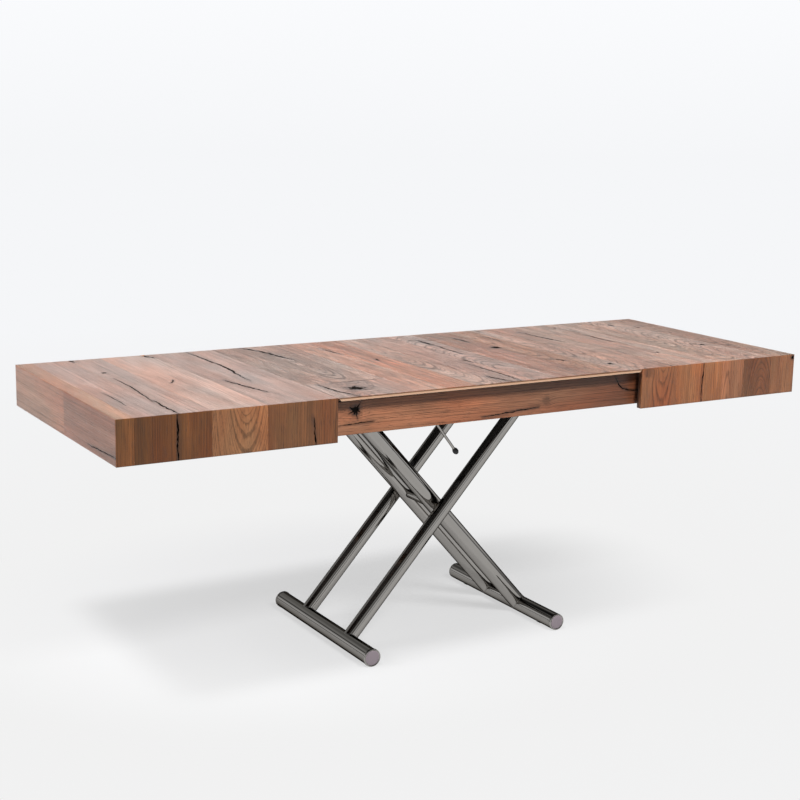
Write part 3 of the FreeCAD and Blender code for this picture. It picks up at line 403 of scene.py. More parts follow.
# %% Board helpers
CELL = 0.008           # size of a mesh cell on a board's face
JOINT_BEVEL = 0.0006   # eased edge along the joint of two boards
EASE = 0.0016          # radius of a worn outer corner
WEAR, WEAR_SCALE = 0.00012, 24     # how far a planed face wanders from flat, and how often
ON_CUT = 1e-6          # a point this near to a cutting plane counts as lying on it
SHARP = math.radians(32)           # an edge that turns more than this stays sharp

AXES = {"X": Vector((1, 0, 0)), "Y": Vector((0, 1, 0)), "Z": Vector((0, 0, 1))}


def side_vector(side):
    """The unit vector of a side such as -Y."""
    return AXES[side[1]] * (-1 if side[0] == "-" else 1)


def box_mesh(low, high):
    """A cube brought to the given corners."""
    low, high = Vector(low), Vector(high)
    bm = bmesh.new()
    scale = Matrix.Diagonal((*(high - low), 1))
    bmesh.ops.create_cube(bm, size=1, matrix=Matrix.Translation((low + high) / 2) @ scale)
    return bm


def mitre(bm, low, high, face, sides):
    """Move the back edge of each side inwards. Sides are pairs of a side and how far it moves."""
    low, high = Vector(low), Vector(high)
    middle = (low + high) / 2
    back = -side_vector(face)
    for side, run in sides:
        out = side_vector(side)
        chosen = [v for v in bm.verts if (v.co - middle).dot(back) > 0 and (v.co - middle).dot(out) > 0]
        bmesh.ops.translate(bm, verts=chosen, vec=-out * run)


def bisect(bm, point, normal, **settings):
    """Cut a whole mesh along a plane."""
    return bmesh.ops.bisect_plane(bm, geom=bm.verts[:] + bm.edges[:] + bm.faces[:], plane_co=point,
                                  plane_no=normal, dist=ON_CUT, **settings)


def slice_off(bm, point, normal):
    """Cut away everything in front of a plane and close the cut."""
    cut = bisect(bm, point, normal, clear_outer=True)
    edges = [e for e in cut["geom_cut"] if isinstance(e, bmesh.types.BMEdge) and e.is_valid]
    if edges:
        bmesh.ops.holes_fill(bm, edges=edges, sides=0)


def ease_corner(bm, corner, first, second):
    """Round the edge through a corner point, between two sides, with three flats."""
    a, b = side_vector(first), side_vector(second)
    centre = Vector(corner) - (a + b) * EASE
    for step in (1, 2, 3):
        angle = math.radians(22.5 * step)
        normal = a * math.cos(angle) + b * math.sin(angle)
        slice_off(bm, centre + normal * EASE, normal)


def cells(bm, low, high, letters):
    """Slice a board into cells across the given axes."""
    for letter in letters:
        i = "XYZ".index(letter)
        count = max(1, round((high[i] - low[i]) / CELL))
        for step in range(1, count):
            spot = Vector((0, 0, 0))
            spot[i] = low[i] + (high[i] - low[i]) * step / count
            bisect(bm, spot, AXES[letter])


def object_from(bm, name, materials):
    """Make a mesh object at the origin from a bmesh, smooth but with sharp edges kept."""
    mesh = bpy.data.meshes.new(name)
    bm.to_mesh(mesh)
    bm.free()
    mesh.shade_smooth()
    mesh.set_sharp_from_angle(angle=SHARP)
    for material in materials:
        mesh.materials.append(material)
    return put_in_scene(name, mesh)


def settle(piece, body, nodes):
    """Put a finished piece on its body, in place of its solids."""
    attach(piece, body)
    if nodes:
        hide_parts(*nodes)


print("boards are cut into cells of", CELL * 1000, "mm")

# %% [markdown]
# ## Checks and knots
# A check is a crack that opened as the beam dried. It is carved with a boolean: a thin wedge follows
# the check's path, wanders and swells a little, tapers at both ends, and is taken out of the board.
# The wedge brings the black filler with it, so the groove it leaves is black. A knot is a shallow
# ragged bowl. Around both, the tannin has stained the wood, which an attribute stores; the same
# attribute carries painted shade on a board's hidden back.

# %% Checks, knots and carving
STEP = 0.006           # a check changes direction about every 6 mm
RISE = 0.0002          # a cutter stands this far proud of the face, so that it opens it cleanly
STAR_RADIUS = 0.009    # knots from this size on have cracks that run outwards


def smooth_path(points):
    """Points along a soft curve through the given ones, a fixed step apart."""
    spots = [Vector(p) for p in points]
    ends = [spots[0] * 2 - spots[1]] + spots + [spots[-1] * 2 - spots[-2]]
    path = []
    for i in range(1, len(ends) - 2):
        a, b, c, d = ends[i - 1:i + 3]
        count = max(2, round((c - b).length / STEP))
        for n in range(count):
            t = n / count
            path.append(0.5 * (b * 2 + (c - a) * t + (a * 2 - b * 5 + c * 4 - d) * t * t
                               + (b * 3 - a - c * 3 + d) * t * t * t))
    return path + [spots[-1]]


def on_face(face, plane, u, v, rise=0.0):
    """A point on a board's outer face: u and v are the face's own two coordinates, in X, Y, Z order."""
    place = [u, v]
    place.insert("XYZ".index(face[1]), plane)
    return Vector(place) + side_vector(face) * rise


def check_wedge(bm, face, plane, points, width, depth, seed):
    """Add the wedge of one check to a bmesh, and return its path for the stain."""
    chance = random.Random(seed)
    path = smooth_path(points)
    last = len(path) - 1
    rows, drift = [], 0.0
    for i, spot in enumerate(path):
        ahead = path[min(i + 1, last)] - path[max(i - 1, 0)]
        side = Vector((-ahead.y, ahead.x)).normalized()
        taper = min(1.0, 0.15 + 3.0 * min(i, last - i) / last)
        half = width / 2 * taper * chance.uniform(0.45, 1.30)
        drift = drift * 0.6 + width * chance.uniform(-0.30, 0.30)
        drift = max(-0.4 * width, min(0.4 * width, drift))
        middle = spot + side * drift
        left, right = middle + side * half, middle - side * half
        rows.append([on_face(face, plane, left.x, left.y, RISE), on_face(face, plane, right.x, right.y, RISE),
                     on_face(face, plane, middle.x, middle.y, -depth * (0.4 + 0.6 * taper))])
    section = bm.faces.new([bm.verts.new(p) for p in rows[0]])
    for before, after in zip(rows, rows[1:]):
        made = bmesh.ops.extrude_face_region(bm, geom=[section], use_keep_orig=True)["geom"]
        for vert in [g for g in made if isinstance(g, bmesh.types.BMVert)]:
            vert.co = after[min(range(3), key=lambda k: (vert.co - before[k]).length)]
        if before is not rows[0]:       # only the first section closes the wedge
            bmesh.ops.delete(bm, geom=[section], context="FACES_ONLY")
        section = [g for g in made if isinstance(g, bmesh.types.BMFace)][0]
    return path


def knot_bowl(bm, face, plane, spot, radius, depth, seed):
    """Add the ragged bowl of one knot to a bmesh."""
    chance = random.Random(seed)
    normal = side_vector(face)
    centre = on_face(face, plane, *spot)
    made = bmesh.ops.create_cone(bm, cap_ends=True, segments=19, radius1=radius * 0.45, radius2=radius,
                                 depth=depth * 2, matrix=facing(centre, normal))
    for vert in made["verts"]:
        out = vert.co - centre
        out -= normal * out.dot(normal)
        vert.co += out * chance.uniform(-0.40, 0.45)


def star_rays(spot, radius, seed):
    """The short cracks that run out of a large knot, as pairs of a path and a width."""
    chance = random.Random(seed)
    centre = Vector(spot)
    rays = []
    for number in range(5):
        angle = math.radians(72 * number + chance.uniform(-25, 25))
        way = Vector((math.cos(angle), math.sin(angle)))
        reach = radius * chance.uniform(1.0, 1.9)
        rays.append(([centre, centre + way * reach * 0.6, centre + way * reach],
                     radius * chance.uniform(0.16, 0.30)))
    return rays


def cut_out(item, cutter_bm, materials):
    """Take a shape out of a piece with an exact boolean."""
    bmesh.ops.recalc_face_normals(cutter_bm, faces=cutter_bm.faces[:])
    cutter = object_from(cutter_bm, "cutter", materials)
    modifier = item.modifiers.new("cut", "BOOLEAN")
    modifier.operation = "DIFFERENCE"
    modifier.solver = "EXACT"
    modifier.material_mode = "TRANSFER"
    modifier.object = cutter
    depsgraph = bpy.context.evaluated_depsgraph_get()
    cut = bpy.data.meshes.new_from_object(item.evaluated_get(depsgraph))
    item.modifiers.clear()
    if len(cut.polygons) > len(item.data.polygons) * 0.7:
        item.data = cut
    else:
        print("left out a cut that failed on", item.name)
    bpy.data.objects.remove(cutter)


print("check step", STEP * 1000, "mm")

# %% [markdown]
# ## From a board to its attributes
# After carving, every point of the board gets its place in the tree, its tone and its stain, and the
# hidden back of a thick board gets painted shade that turns it near black. The figure of a board is set
# by three numbers: where the heart lies across the board, how deep it lies under the face, and how much
# the board slants against the trunk. A fourth is for a bent trunk, whose flames are long and pointed at
# one end of the board and short at the other.

# %% Board builder
STAIN_REACH = 0.005    # how far tannin darkens the wood beside a check
STAIN_DEPTH = 0.60     # how dark it gets at the check's edge
KNOT_REACH = 0.7       # how far the same goes beside a knot, in knot radii
SHADED_BACK_EDGE = 0.0005     # painted shade: the hidden back of a board is blackened from this near to it
THIN = 0.004           # a thinner board is glued down, so its back gets no painted shade
TREE_STEP = 3.7        # boards of different seeds come from places this far apart along the trunk, in metres


def set_attributes(item, face, plane, fibre, start, tone, figure, heart, checks, knots, seed, fade):
    """Store timber, tone, and stain with painted shade on a board's points. start is where the fibre length
    counts from.
    fade is where along the fibre the board starts and ends to darken, and by how much: a darker tone with
    painted shade."""
    mesh = item.data
    fibre_axis = AXES[fibre[1]] * (-1 if fibre[0] == "-" else 1)
    normal = side_vector(face)
    across = [AXES[k] for k in "XYZ" if k not in (fibre[1], face[1])][0]
    heart_at, heart_deep, slant, bend = (*heart, 0)[:4]
    colour = paint(tone)[:3]
    places, stain_and_shade_values, colours = [], [], []
    ui, vi = [i for i in range(3) if "XYZ"[i] != face[1]]
    outer = plane * (1 if face[0] == "+" else -1)
    back = max(outer - vert.co.dot(normal) for vert in mesh.vertices) - SHADED_BACK_EDGE
    for vert in mesh.vertices:
        along = vert.co.dot(fibre_axis) - start
        deep = outer - vert.co.dot(normal)
        flat = Vector((vert.co[ui], vert.co[vi]))
        swirl = 0.0
        # painted shade: the hidden back of a thick board gets full stain, so it renders near black
        stain_and_shade = 1.0 if deep > back > THIN else 0.0
        for spot, radius, cut in knots:
            gap = (flat - Vector(spot)).length
            swirl += radius * 1.1 * math.exp(-(gap / (radius * 2.2)) ** 2)
            stain_and_shade = max(stain_and_shade, min(0.75 if cut else 0.45, 1.5 - 1.5 * gap / (radius * (1 + KNOT_REACH))))
        if deep < 0.004:
            for path, width in checks:
                gap = max(0.0, min((flat - p).length for p in path) - width / 2)
                stain_and_shade = max(stain_and_shade, STAIN_DEPTH * (1 - gap / STAIN_REACH))
        places += (vert.co.dot(across) - heart_at,
                   heart_deep + (slant + bend * along) * along + deep + swirl, along + TREE_STEP * seed)
        stain_and_shade_values.append(max(0.0, min(1.0, stain_and_shade)))
        # a darker tone together with painted shade, along the fibre where fade asks for it
        shade = 1
        if fade:
            shade -= fade[2] * max(0, min(1, (along - fade[0]) / (fade[1] - fade[0]))) ** 1.5
        colours += [c * shade for c in colour] + [figure]
    mesh.attributes.new("timber", "FLOAT_VECTOR", "POINT").data.foreach_set("vector", places)
    mesh.attributes.new("tone", "FLOAT_COLOR", "POINT").data.foreach_set("color", colours)
    mesh.attributes.new("stain_and_shade", "FLOAT", "POINT").data.foreach_set("value", stain_and_shade_values)


def board(name, low, high, face, fibre, start, tone, heart, mitres, eased, checks, knots, seed, figure,
          joints=True, fade=()):
    """Build one board. face is its outer side, fibre the way its grain runs."""
    i = "XYZ".index(face[1])
    plane = high[i] if face[0] == "+" else low[i]
    outward = side_vector(face)
    bm = box_mesh(low, high)
    if joints:
        middle = (Vector(low) + Vector(high)) / 2
        long_edges = [e for e in bm.edges
                      if all((v.co - middle).dot(outward) > 0 for v in e.verts)
                      and abs((e.verts[0].co - e.verts[1].co).normalized().dot(AXES[fibre[1]])) > 0.9]
        bmesh.ops.bevel(bm, geom=long_edges, offset=JOINT_BEVEL, affect="EDGES", segments=1, profile=0.5,
                        material=-1)
    mitre(bm, low, high, face, mitres)
    for corner, first, second in eased:
        ease_corner(bm, corner, first, second)
    cells(bm, low, high, [k for k in "XYZ" if k != face[1]])
    for vert in [v for v in bm.verts if abs(v.co[i] - plane) < 1e-5]:
        vert.co += outward * (noise.noise(vert.co * WEAR_SCALE) - 1) * WEAR
    item = object_from(bm, name, [board_oak])
    paths = []

    def carve_check(points, width, depth, seed):
        cutter = bmesh.new()
        paths.append((check_wedge(cutter, face, plane, points, width, depth, seed), width))
        cut_out(item, cutter, [crack_black])

    for number, (points, width, depth) in enumerate(checks):
        carve_check(points, width, depth, seed * 31 + number)
    for number, (spot, radius, depth) in enumerate(knots):
        if not depth:       # such a knot is only a swirl and a stain
            continue
        cutter = bmesh.new()
        knot_bowl(cutter, face, plane, spot, radius, depth, seed * 57 + number)
        cut_out(item, cutter, [crack_black])
        if radius >= STAR_RADIUS:
            for points, width in star_rays(spot, radius, seed + number):
                carve_check(points, width, depth, seed + len(paths))
    item.data.set_sharp_from_angle(angle=SHARP)
    set_attributes(item, face, plane, fibre, start, tone, figure, heart, paths, knots, seed, fade)
    return item


def join(name, items, body, nodes):
    """Join boards into one piece that rides on a body and stands for its solids."""
    with bpy.context.temp_override(active_object=items[0], object=items[0], selected_objects=items,
                                   selected_editable_objects=items):
        bpy.ops.object.join()
    piece = items[0]
    piece.name = name
    piece.data.name = name
    settle(piece, body, nodes)
    print(f"{name}: {len(piece.data.vertices)} points")


def within(marks, low, high, i=0, number=0):
    """The checks and knots between two values of coordinate i. A check lies where a numbered point is."""
    spots = [(mark, mark[0][number] if isinstance(mark[0], list) else mark[0]) for mark in marks]
    return [mark for mark, spot in spots if low <= spot[i] < high]


# %% [markdown]
# ## The shells
# A shell is a box without a bottom, made from boards laid across the table. They fold over its long
# sides, so each board of the top goes on down the front and the back, with its grain turned round the
# corner. The closed end is one pair of long boards laid level. The list below names each board by
# where it starts and ends along the table, its tone, and its heart.

# %% Shell sizes and boards
SHELL_LOW, SHELL_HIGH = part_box("left_end_skirt")
TOP_Z = SHELL_HIGH.z
BOTTOM_Z = SHELL_LOW.z
HALF_WIDTH = SHELL_HIGH.y
HALF_LENGTH = -SHELL_LOW.x
SHELL_INNER = -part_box("left_top_panel")[1].x
PANEL = TOP_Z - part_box("left_top_panel")[0].z
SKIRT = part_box("left_front_skirt")[1].y + HALF_WIDTH

LEFT_FIGURE, LEAF_FIGURE, RIGHT_FIGURE = 0.95, 1.6, 1.7   # brushing brings out the figure on the tops, and a strong figure adds painted glints and shade
SIDE_FIGURE = 0.9
SAME = 1e-6            # two places nearer than this are one
# each board's top tone is paler and greyer than its side tone: partly painted sheen of the light that grazes
# the top
LEFT_BOARDS = [
    # from, to, top tone, its (heart across, heart depth, slant), side tone, the same for the sides
    (-1.100, -1.053, "#9A6C50", (-1.30, 0.060, 0.02), "#754822", (-1.30, 0.060, 0.02)),
    (-1.053, -0.946, "#987A6E", (-1.30, 0.050, 0.01), "#673D15", (-1.25, 0.050, 0.01)),
    (-0.946, -0.851, "#9B7D70", (-0.60, 0.090, 0.02), "#71411A", (-0.70, 0.090, 0.02)),
    (-0.851, -0.699, "#AD8D7E", (-0.60, 0.120, 0.04), "#9C6D48", (-0.756, 0.046, -0.16)),
    (-0.699, -0.500, "#997D71", (-0.42, 0.080, 0.03), "#794E2D", (-0.42, 0.080, 0.03)),
]
print("top face at", round(TOP_Z, 4), "m; shells end at", round(HALF_LENGTH, 4), "m")


def shell(side, boards, ends, top_checks, front_checks, end_checks, top_knots, front_knots):
    """One shell: side is -1 for the left one and 1 for the right one."""
    name, end_side = ("left", "-X") if side < 0 else ("right", "+X")
    end_out, end_in = side * HALF_LENGTH, side * (HALF_LENGTH - SKIRT)
    # the edges that hands touch: a point on each, and the two sides that meet there
    touched = [
        ((0, -HALF_WIDTH, TOP_Z), "-Y", "+Z"), ((0, HALF_WIDTH, TOP_Z), "+Y", "+Z"),
        ((end_out, 0, TOP_Z), end_side, "+Z"), ((end_out, -HALF_WIDTH, 0), end_side, "-Y"),
        ((end_out, HALF_WIDTH, 0), end_side, "+Y"), ((0, -HALF_WIDTH, BOTTOM_Z), "-Y", "-Z"),
        ((0, HALF_WIDTH, BOTTOM_Z), "+Y", "-Z"), ((end_out, 0, BOTTOM_Z), end_side, "-Z"),
    ]
    items = []
    for number, (x0, x1, tone, heart, side_tone, side_heart) in enumerate(boards):
        outermost = min(abs(x0 - end_out), abs(x1 - end_out)) < SAME
        seed = number + (1 if side < 0 else 21)
        items.append(board(
            f"{name}_top_{number}", (x0, -HALF_WIDTH, TOP_Z - PANEL), (x1, HALF_WIDTH, TOP_Z), "+Z", "+Y",
            -HALF_WIDTH, tone, heart, [("-Y", PANEL), ("+Y", PANEL)] + [(end_side, PANEL)] * outermost,
            touched[:3], within(top_checks, x0, x1), within(top_knots, x0, x1), seed,
            LEFT_FIGURE if side < 0 else RIGHT_FIGURE))
        for face, fibre, start, marks in (("-Y", "+Z", TOP_Z, (front_checks, front_knots)),
                                          ("+Y", "-Z", -TOP_Z - 2 * HALF_WIDTH, ((), ()))):
            y0, y1 = sorted(side_vector(face).y * y for y in (HALF_WIDTH, HALF_WIDTH - SKIRT))
            items.append(board(
                f"{name}_side_{number}_{face[0]}", (x0, y0, BOTTOM_Z), (x1, y1, TOP_Z), face, fibre, start,
                side_tone, side_heart, [("+Z", SKIRT)] + [(end_side, SKIRT)] * outermost, touched,
                *[within(mark, x0, x1) for mark in marks], seed, SIDE_FIGURE))
    # level boards close the end
    for number, (y0, y1, tone, heart) in enumerate(ends):
        mitres = [("+Z", SKIRT)]
        mitres += [(way, SKIRT) for way, y in (("-Y", -y0), ("+Y", y1)) if abs(y - HALF_WIDTH) < SAME]
        items.append(board(
            f"{name}_end_{number}", (min(end_out, end_in), y0, BOTTOM_Z), (max(end_out, end_in), y1, TOP_Z),
            end_side, "+Y", 0.0, tone, heart, mitres, touched, within(end_checks, y0, y1), [],
            41 + number + (0 if side < 0 else 10), SIDE_FIGURE, joints=False))
    nodes = [f"{name}_{part}" for part in ("top_panel", "front_skirt", "back_skirt", "end_skirt")]
    join(f"{name}_shell_boards", items, f"{name}_shell", nodes)


LEFT_TOP_CHECKS = [
    ([(-0.921, 0.095), (-0.924, -0.035), (-0.9295, -0.112), (-0.9425, -0.255)], 0.0042, 0.004),
    ([(-0.934, -0.225), (-0.9395, -0.321), (-0.9400, -0.420)], 0.0063, 0.008),
    ([(-1.0175, -0.080), (-1.0165, -0.170), (-1.0190, -0.262)], 0.0031, 0.003),
    ([(-0.727, 0.425), (-0.720, 0.385), (-0.705, 0.346)], 0.0130, 0.005),
    ([(-0.586, 0.415), (-0.583, 0.300), (-0.582, 0.120), (-0.595, 0.020), (-0.603, -0.098)], 0.0072, 0.005),
    ([(-0.663, -0.050), (-0.655, -0.110), (-0.6435, -0.178), (-0.628, -0.262)], 0.0088, 0.004),
    ([(-0.941, 0.430), (-0.9405, 0.395), (-0.940, 0.368)], 0.0090, 0.004),
    ([(-0.784, 0.010), (-0.796, -0.015), (-0.808, -0.036)], 0.0050, 0.003),
]
LEFT_TOP_KNOTS = [((-0.919, 0.180), 0.0080, 0.003)]
LEFT_FRONT_CHECKS = [
    ([(-0.9410, 0.822), (-0.9412, 0.760), (-0.9418, 0.720), (-0.9422, 0.670)], 0.0046, 0.008),
    ([(-0.5700, 0.762), (-0.5665, 0.720), (-0.5620, 0.670)], 0.0044, 0.006),
]
LEFT_END = [
    (-HALF_WIDTH, -0.018, "#845138", (1.10, 0.05, 0.01)),
    (-0.018, HALF_WIDTH, "#976549", (0.40, 0.05, 0.01)),
]
LEFT_END_CHECKS = [([(-0.200, 0.7035), (-0.300, 0.7075), (-0.420, 0.7120)], 0.0028, 0.004)]
shell(-1, LEFT_BOARDS, LEFT_END, LEFT_TOP_CHECKS, LEFT_FRONT_CHECKS, LEFT_END_CHECKS, LEFT_TOP_KNOTS, [])

# %% Right shell
# each board's top tone is paler and greyer than its side tone: partly painted sheen of the light that grazes
# the top
RIGHT_BOARDS = [
    (0.500, 0.630, "#9F745D", (0.49, 0.105, -0.17, 0.090), "#9F643F", (0.575, 0.050, -0.10)),
    (0.630, 0.735, "#A07862", (0.80, 0.060, 0.05), "#A36941", (0.80, 0.060, 0.05)),
    (0.735, 0.807, "#9C7B68", (0.60, 0.070, 0.02), "#9C6943", (0.60, 0.070, 0.02)),
    (0.807, 0.892, "#A0785F", (0.86, 0.100, -0.16, 0.090), "#A06A49", (0.83, 0.030, 0.05)),
    (0.892, 1.004, "#A67F6A", (0.950, 0.060, 0.16), "#794A2C", (0.962, 0.060, 0.20)),
    (1.004, 1.100, "#8B5F41", (1.03, 0.100, -0.16, 0.085), "#95613F", (1.25, 0.050, 0.05)),
]
RIGHT_TOP_CHECKS = [
    ([(0.562, 0.320), (0.565, 0.240), (0.570, 0.170), (0.581, 0.080)], 0.0084, 0.004),
    ([(0.7315, 0.185), (0.7290, 0.100), (0.7270, 0.015)], 0.0070, 0.004),
    ([(0.9450, 0.325), (0.9420, 0.290)], 0.0090, 0.004),
    ([(1.0000, 0.250), (0.9960, 0.215)], 0.0070, 0.004),
    ([(0.6130, -0.300), (0.6150, -0.420)], 0.0034, 0.004),
]
RIGHT_TOP_KNOTS = [((0.7320, -0.195), 0.008, 0.003), ((0.958, -0.140), 0.010, 0.003),
                   ((0.726, 0.337), 0.008, 0.003)]
RIGHT_FRONT_CHECKS = [([(0.7335, 0.822), (0.7325, 0.780), (0.7290, 0.740), (0.7295, 0.670)], 0.0040, 0.006)]
RIGHT_FRONT_KNOTS = [((0.522, 0.795), 0.0120, 0), ((1.092, 0.797), 0.007, 0.003)]
RIGHT_END = [
    (-HALF_WIDTH, 0.052, "#8A604A", (1.10, 0.05, 0.01)),
    (0.052, HALF_WIDTH, "#7D5540", (0.66, 0.08, 0.02)),
]
shell(1, RIGHT_BOARDS, RIGHT_END, RIGHT_TOP_CHECKS, RIGHT_FRONT_CHECKS, [], RIGHT_TOP_KNOTS,
      RIGHT_FRONT_KNOTS)

# %% [markdown]
# ## The leaves
# A leaf is a pale core with a thin brown face, so its front edge shows a light line. The core is a
# plain measured solid and stays. The face is made here from boards that run across the table, some of
# them from two lengths joined end to end.

# %% Leaf faces
FACE_LOW, FACE_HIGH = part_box("left_leaf_face")
LEAF_GAP = 0.0005
MIDDLE_SEED = 64
CUT = 0.0011           # how deep the marks of a leaf are; its face is 1.5 mm thick


def leaf_face(side, boards, checks, knots):
    """One leaf's face. Each board is (x0, x1, y0, y1, tone, heart)."""
    name = "left" if side < 0 else "right"
    outer, inner = side * (SHELL_INNER - LEAF_GAP), side * LEAF_GAP / 2
    thick = FACE_HIGH.z - FACE_LOW.z
    items = []
    for number, (x0, x1, y0, y1, tone, heart) in enumerate(boards):
        # the two boards that meet in the middle share a seed, so the figure runs on across the joint
        seed = MIDDLE_SEED if 0 in (x0, x1) else 60 + number + (0 if side < 0 else 20)
        x0, x1 = max(x0, min(outer, inner)), min(x1, max(outer, inner))
        mitres = [(way, thick) for way, x in (("-X", x0), ("+X", x1)) if abs(x - outer) < SAME]
        checks_here, knots_here = [within(within(marks, x0, x1, 0, 1), y0, y1, 1, 1)
                                   for marks in (checks, knots)]
        items.append(board(
            f"{name}_face_{number}", (x0, y0, FACE_LOW.z), (x1, y1, FACE_HIGH.z), "+Z", "+Y", -HALF_WIDTH,
            tone, heart, mitres, [], checks_here, knots_here, seed, LEAF_FIGURE))
    join(f"{name}_leaf_boards", items, f"{name}_leaf", [f"{name}_leaf_face"])


FRONT, BACK = -HALF_WIDTH, HALF_WIDTH
LEFT_LEAF = [
    (-0.500, -0.253, -0.211, BACK, "#906F5E", (-0.365, 0.100, -0.17, 0.100)),
    (-0.500, -0.253, FRONT, -0.211, "#9C7B6C", (-0.380, 0.120, 0.02)),
    (-0.253, -0.169, FRONT, BACK, "#A3745C", (-0.320, 0.060, 0.06)),
    (-0.169, -0.077, FRONT, BACK, "#A46747", (-0.030, 0.080, 0.03)),
    (-0.077, 0.000, FRONT, BACK, "#9A7C6C", (-0.050, 0.105, -0.17, 0.095)),
]
LEFT_LEAF_CHECKS = [
    ([(-0.418, 0.440), (-0.404, 0.392), (-0.376, 0.310), (-0.364, 0.230), (-0.354, 0.150)], 0.0125, CUT),
    ([(-0.1925, 0.300), (-0.1850, 0.230), (-0.1780, 0.165)], 0.0050, CUT),
    ([(-0.4675, -0.218), (-0.4625, -0.299), (-0.4350, -0.415)], 0.0080, CUT),
    ([(-0.1310, 0.034), (-0.1240, 0.066)], 0.0090, CUT),
    ([(-0.4250, -0.2150), (-0.3400, -0.2145), (-0.2570, -0.2150)], 0.0026, CUT),
]
LEFT_LEAF_KNOTS = [((-0.396, -0.306), 0.026, CUT)]
leaf_face(-1, LEFT_LEAF, LEFT_LEAF_CHECKS, LEFT_LEAF_KNOTS)

RIGHT_LEAF = [
    (0.000, 0.110, FRONT, BACK, "#9B7868", (-0.050, 0.105, -0.17, 0.095)),
    (0.110, 0.203, FRONT, BACK, "#9A796A", (0.145, 0.070, 0.12)),
    (0.203, 0.330, FRONT, 0.060, "#8F593D", (0.420, 0.080, 0.05)),
    (0.203, 0.330, 0.060, BACK, "#87573A", (0.100, 0.080, 0.03)),
    (0.330, 0.420, FRONT, BACK, "#895B3A", (0.350, 0.100, -0.16, 0.090)),
    (0.420, 0.500, FRONT, BACK, "#A07A66", (0.440, 0.105, -0.17, 0.090)),
]
RIGHT_LEAF_CHECKS = [
    ([(0.0200, -0.305), (0.0290, -0.350), (0.0420, -0.415)], 0.0076, CUT),
    ([(0.1660, 0.300), (0.1630, 0.250), (0.1640, 0.205)], 0.0140, CUT),
    ([(0.1640, 0.190), (0.1590, 0.120), (0.1580, 0.030)], 0.0060, CUT),
    ([(0.1020, -0.055), (0.1040, -0.085), (0.1050, -0.110)], 0.0090, CUT),
    ([(0.0800, -0.110), (0.0790, -0.255), (0.0730, -0.415)], 0.0066, CUT),
    ([(0.2930, 0.310), (0.2950, 0.260), (0.2930, 0.200)], 0.0084, CUT),
    ([(0.3620, -0.162), (0.3680, -0.180), (0.3780, -0.200)], 0.0120, CUT),
    ([(0.4010, 0.300), (0.4030, 0.240), (0.4020, 0.180)], 0.0050, CUT),
]
RIGHT_LEAF_KNOTS = [((0.3180, 0.086), 0.018, CUT), ((0.4675, -0.2935), 0.010, CUT)]
leaf_face(1, RIGHT_LEAF, RIGHT_LEAF_CHECKS, RIGHT_LEAF_KNOTS)

# %% [markdown]
# ## The aprons
# The two long boards under the leaves hold the frame together. Their grain runs level.

# %% Aprons
APRON_CHECKS = [
    ([(-0.480, 0.7235), (-0.430, 0.7260), (-0.372, 0.7270)], 0.0026, 0.004),
    ([(-0.030, 0.7065), (0.060, 0.7110), (0.160, 0.7180)], 0.0034, 0.004),
    ([(0.428, 0.7830), (0.445, 0.7560), (0.470, 0.7420), (0.515, 0.7360)], 0.0042, 0.004),
]
APRON_KNOTS = [((-0.431, 0.7620), 0.0140, 0.003), ((0.186, 0.7330), 0.0090, 0)]


def apron(name, face, checks, knots, tone, seed):
    """One apron board. It darkens from left to right, partly in tone and partly as painted shade where the
    right shell shades it.
    """
    low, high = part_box(name)
    # the apron darkens towards its right end: partly its tone, partly painted shade of the right shell
    item = board(name + "_board", low, high, face, "+X", 0.0, tone, (0.640, 0.060, 0.01), [], [], checks,
                 knots, seed, SIDE_FIGURE, fade=(-0.30, 0.45, 0.62))
    join(name + "_board", [item], "top_frame", [name])


apron("apron_front", "-Y", APRON_CHECKS, APRON_KNOTS, "#B97A57", 91)
apron("apron_back", "+Y", [([(-0.20, 0.72), (0.02, 0.73)], 0.0030, 0.004)],
      [((0.290, 0.745), 0.009, 0.003)], "#8A5C43", 92)

# %% [markdown]
# ## Black nickel
# The tubes are polished steel plated with black nickel: a mirror with a dark, slightly warm tint. What
# one sees on them is the room, so the colour only sets how much light comes back. A dark edge tint
# holds back what they mirror at a glancing angle. A long, faint waviness is left by the polishing
# wheel, and fine noise in the roughness keeps reflections soft.

# %% Metals and plastics
def solid_finish(name, colour, second, metallic, roughness, grain_mm, relief_mm, spread=0.08,
                 stretch=(1, 1, 1), edge="#FFFFFF"):
    """A plain material with a fine pattern in its colour, roughness and relief. edge tints what it
    mirrors at a glancing angle."""
    material, tree = new_material(name)
    place = add(tree, "TexCoord").outputs["Object"]
    way = add(tree, "VectorMath", [place, stretch], operation="MULTIPLY")
    grain = add(tree, "TexNoise", {"Vector": way, "Scale": 1000 / grain_mm, "Detail": 3.0})
    tint = add(tree, "Mix", {0: grain, 6: paint(colour), 7: paint(second)}, data_type="RGBA")
    rough = add(tree, "MapRange", {0: grain, "To Min": roughness - spread / 2,
                                   "To Max": roughness + spread / 2})
    bump = add(tree, "Bump", {"Height": grain, "Strength": 0.4, "Distance": relief_mm / 1000})
    surface = add(tree, "BsdfPrincipled", {"Base Color": tint, "Metallic": metallic, "Roughness": rough,
                                           "Normal": bump, "Specular Tint": paint(edge)})
    add(tree, "OutputMaterial", [surface])
    return material


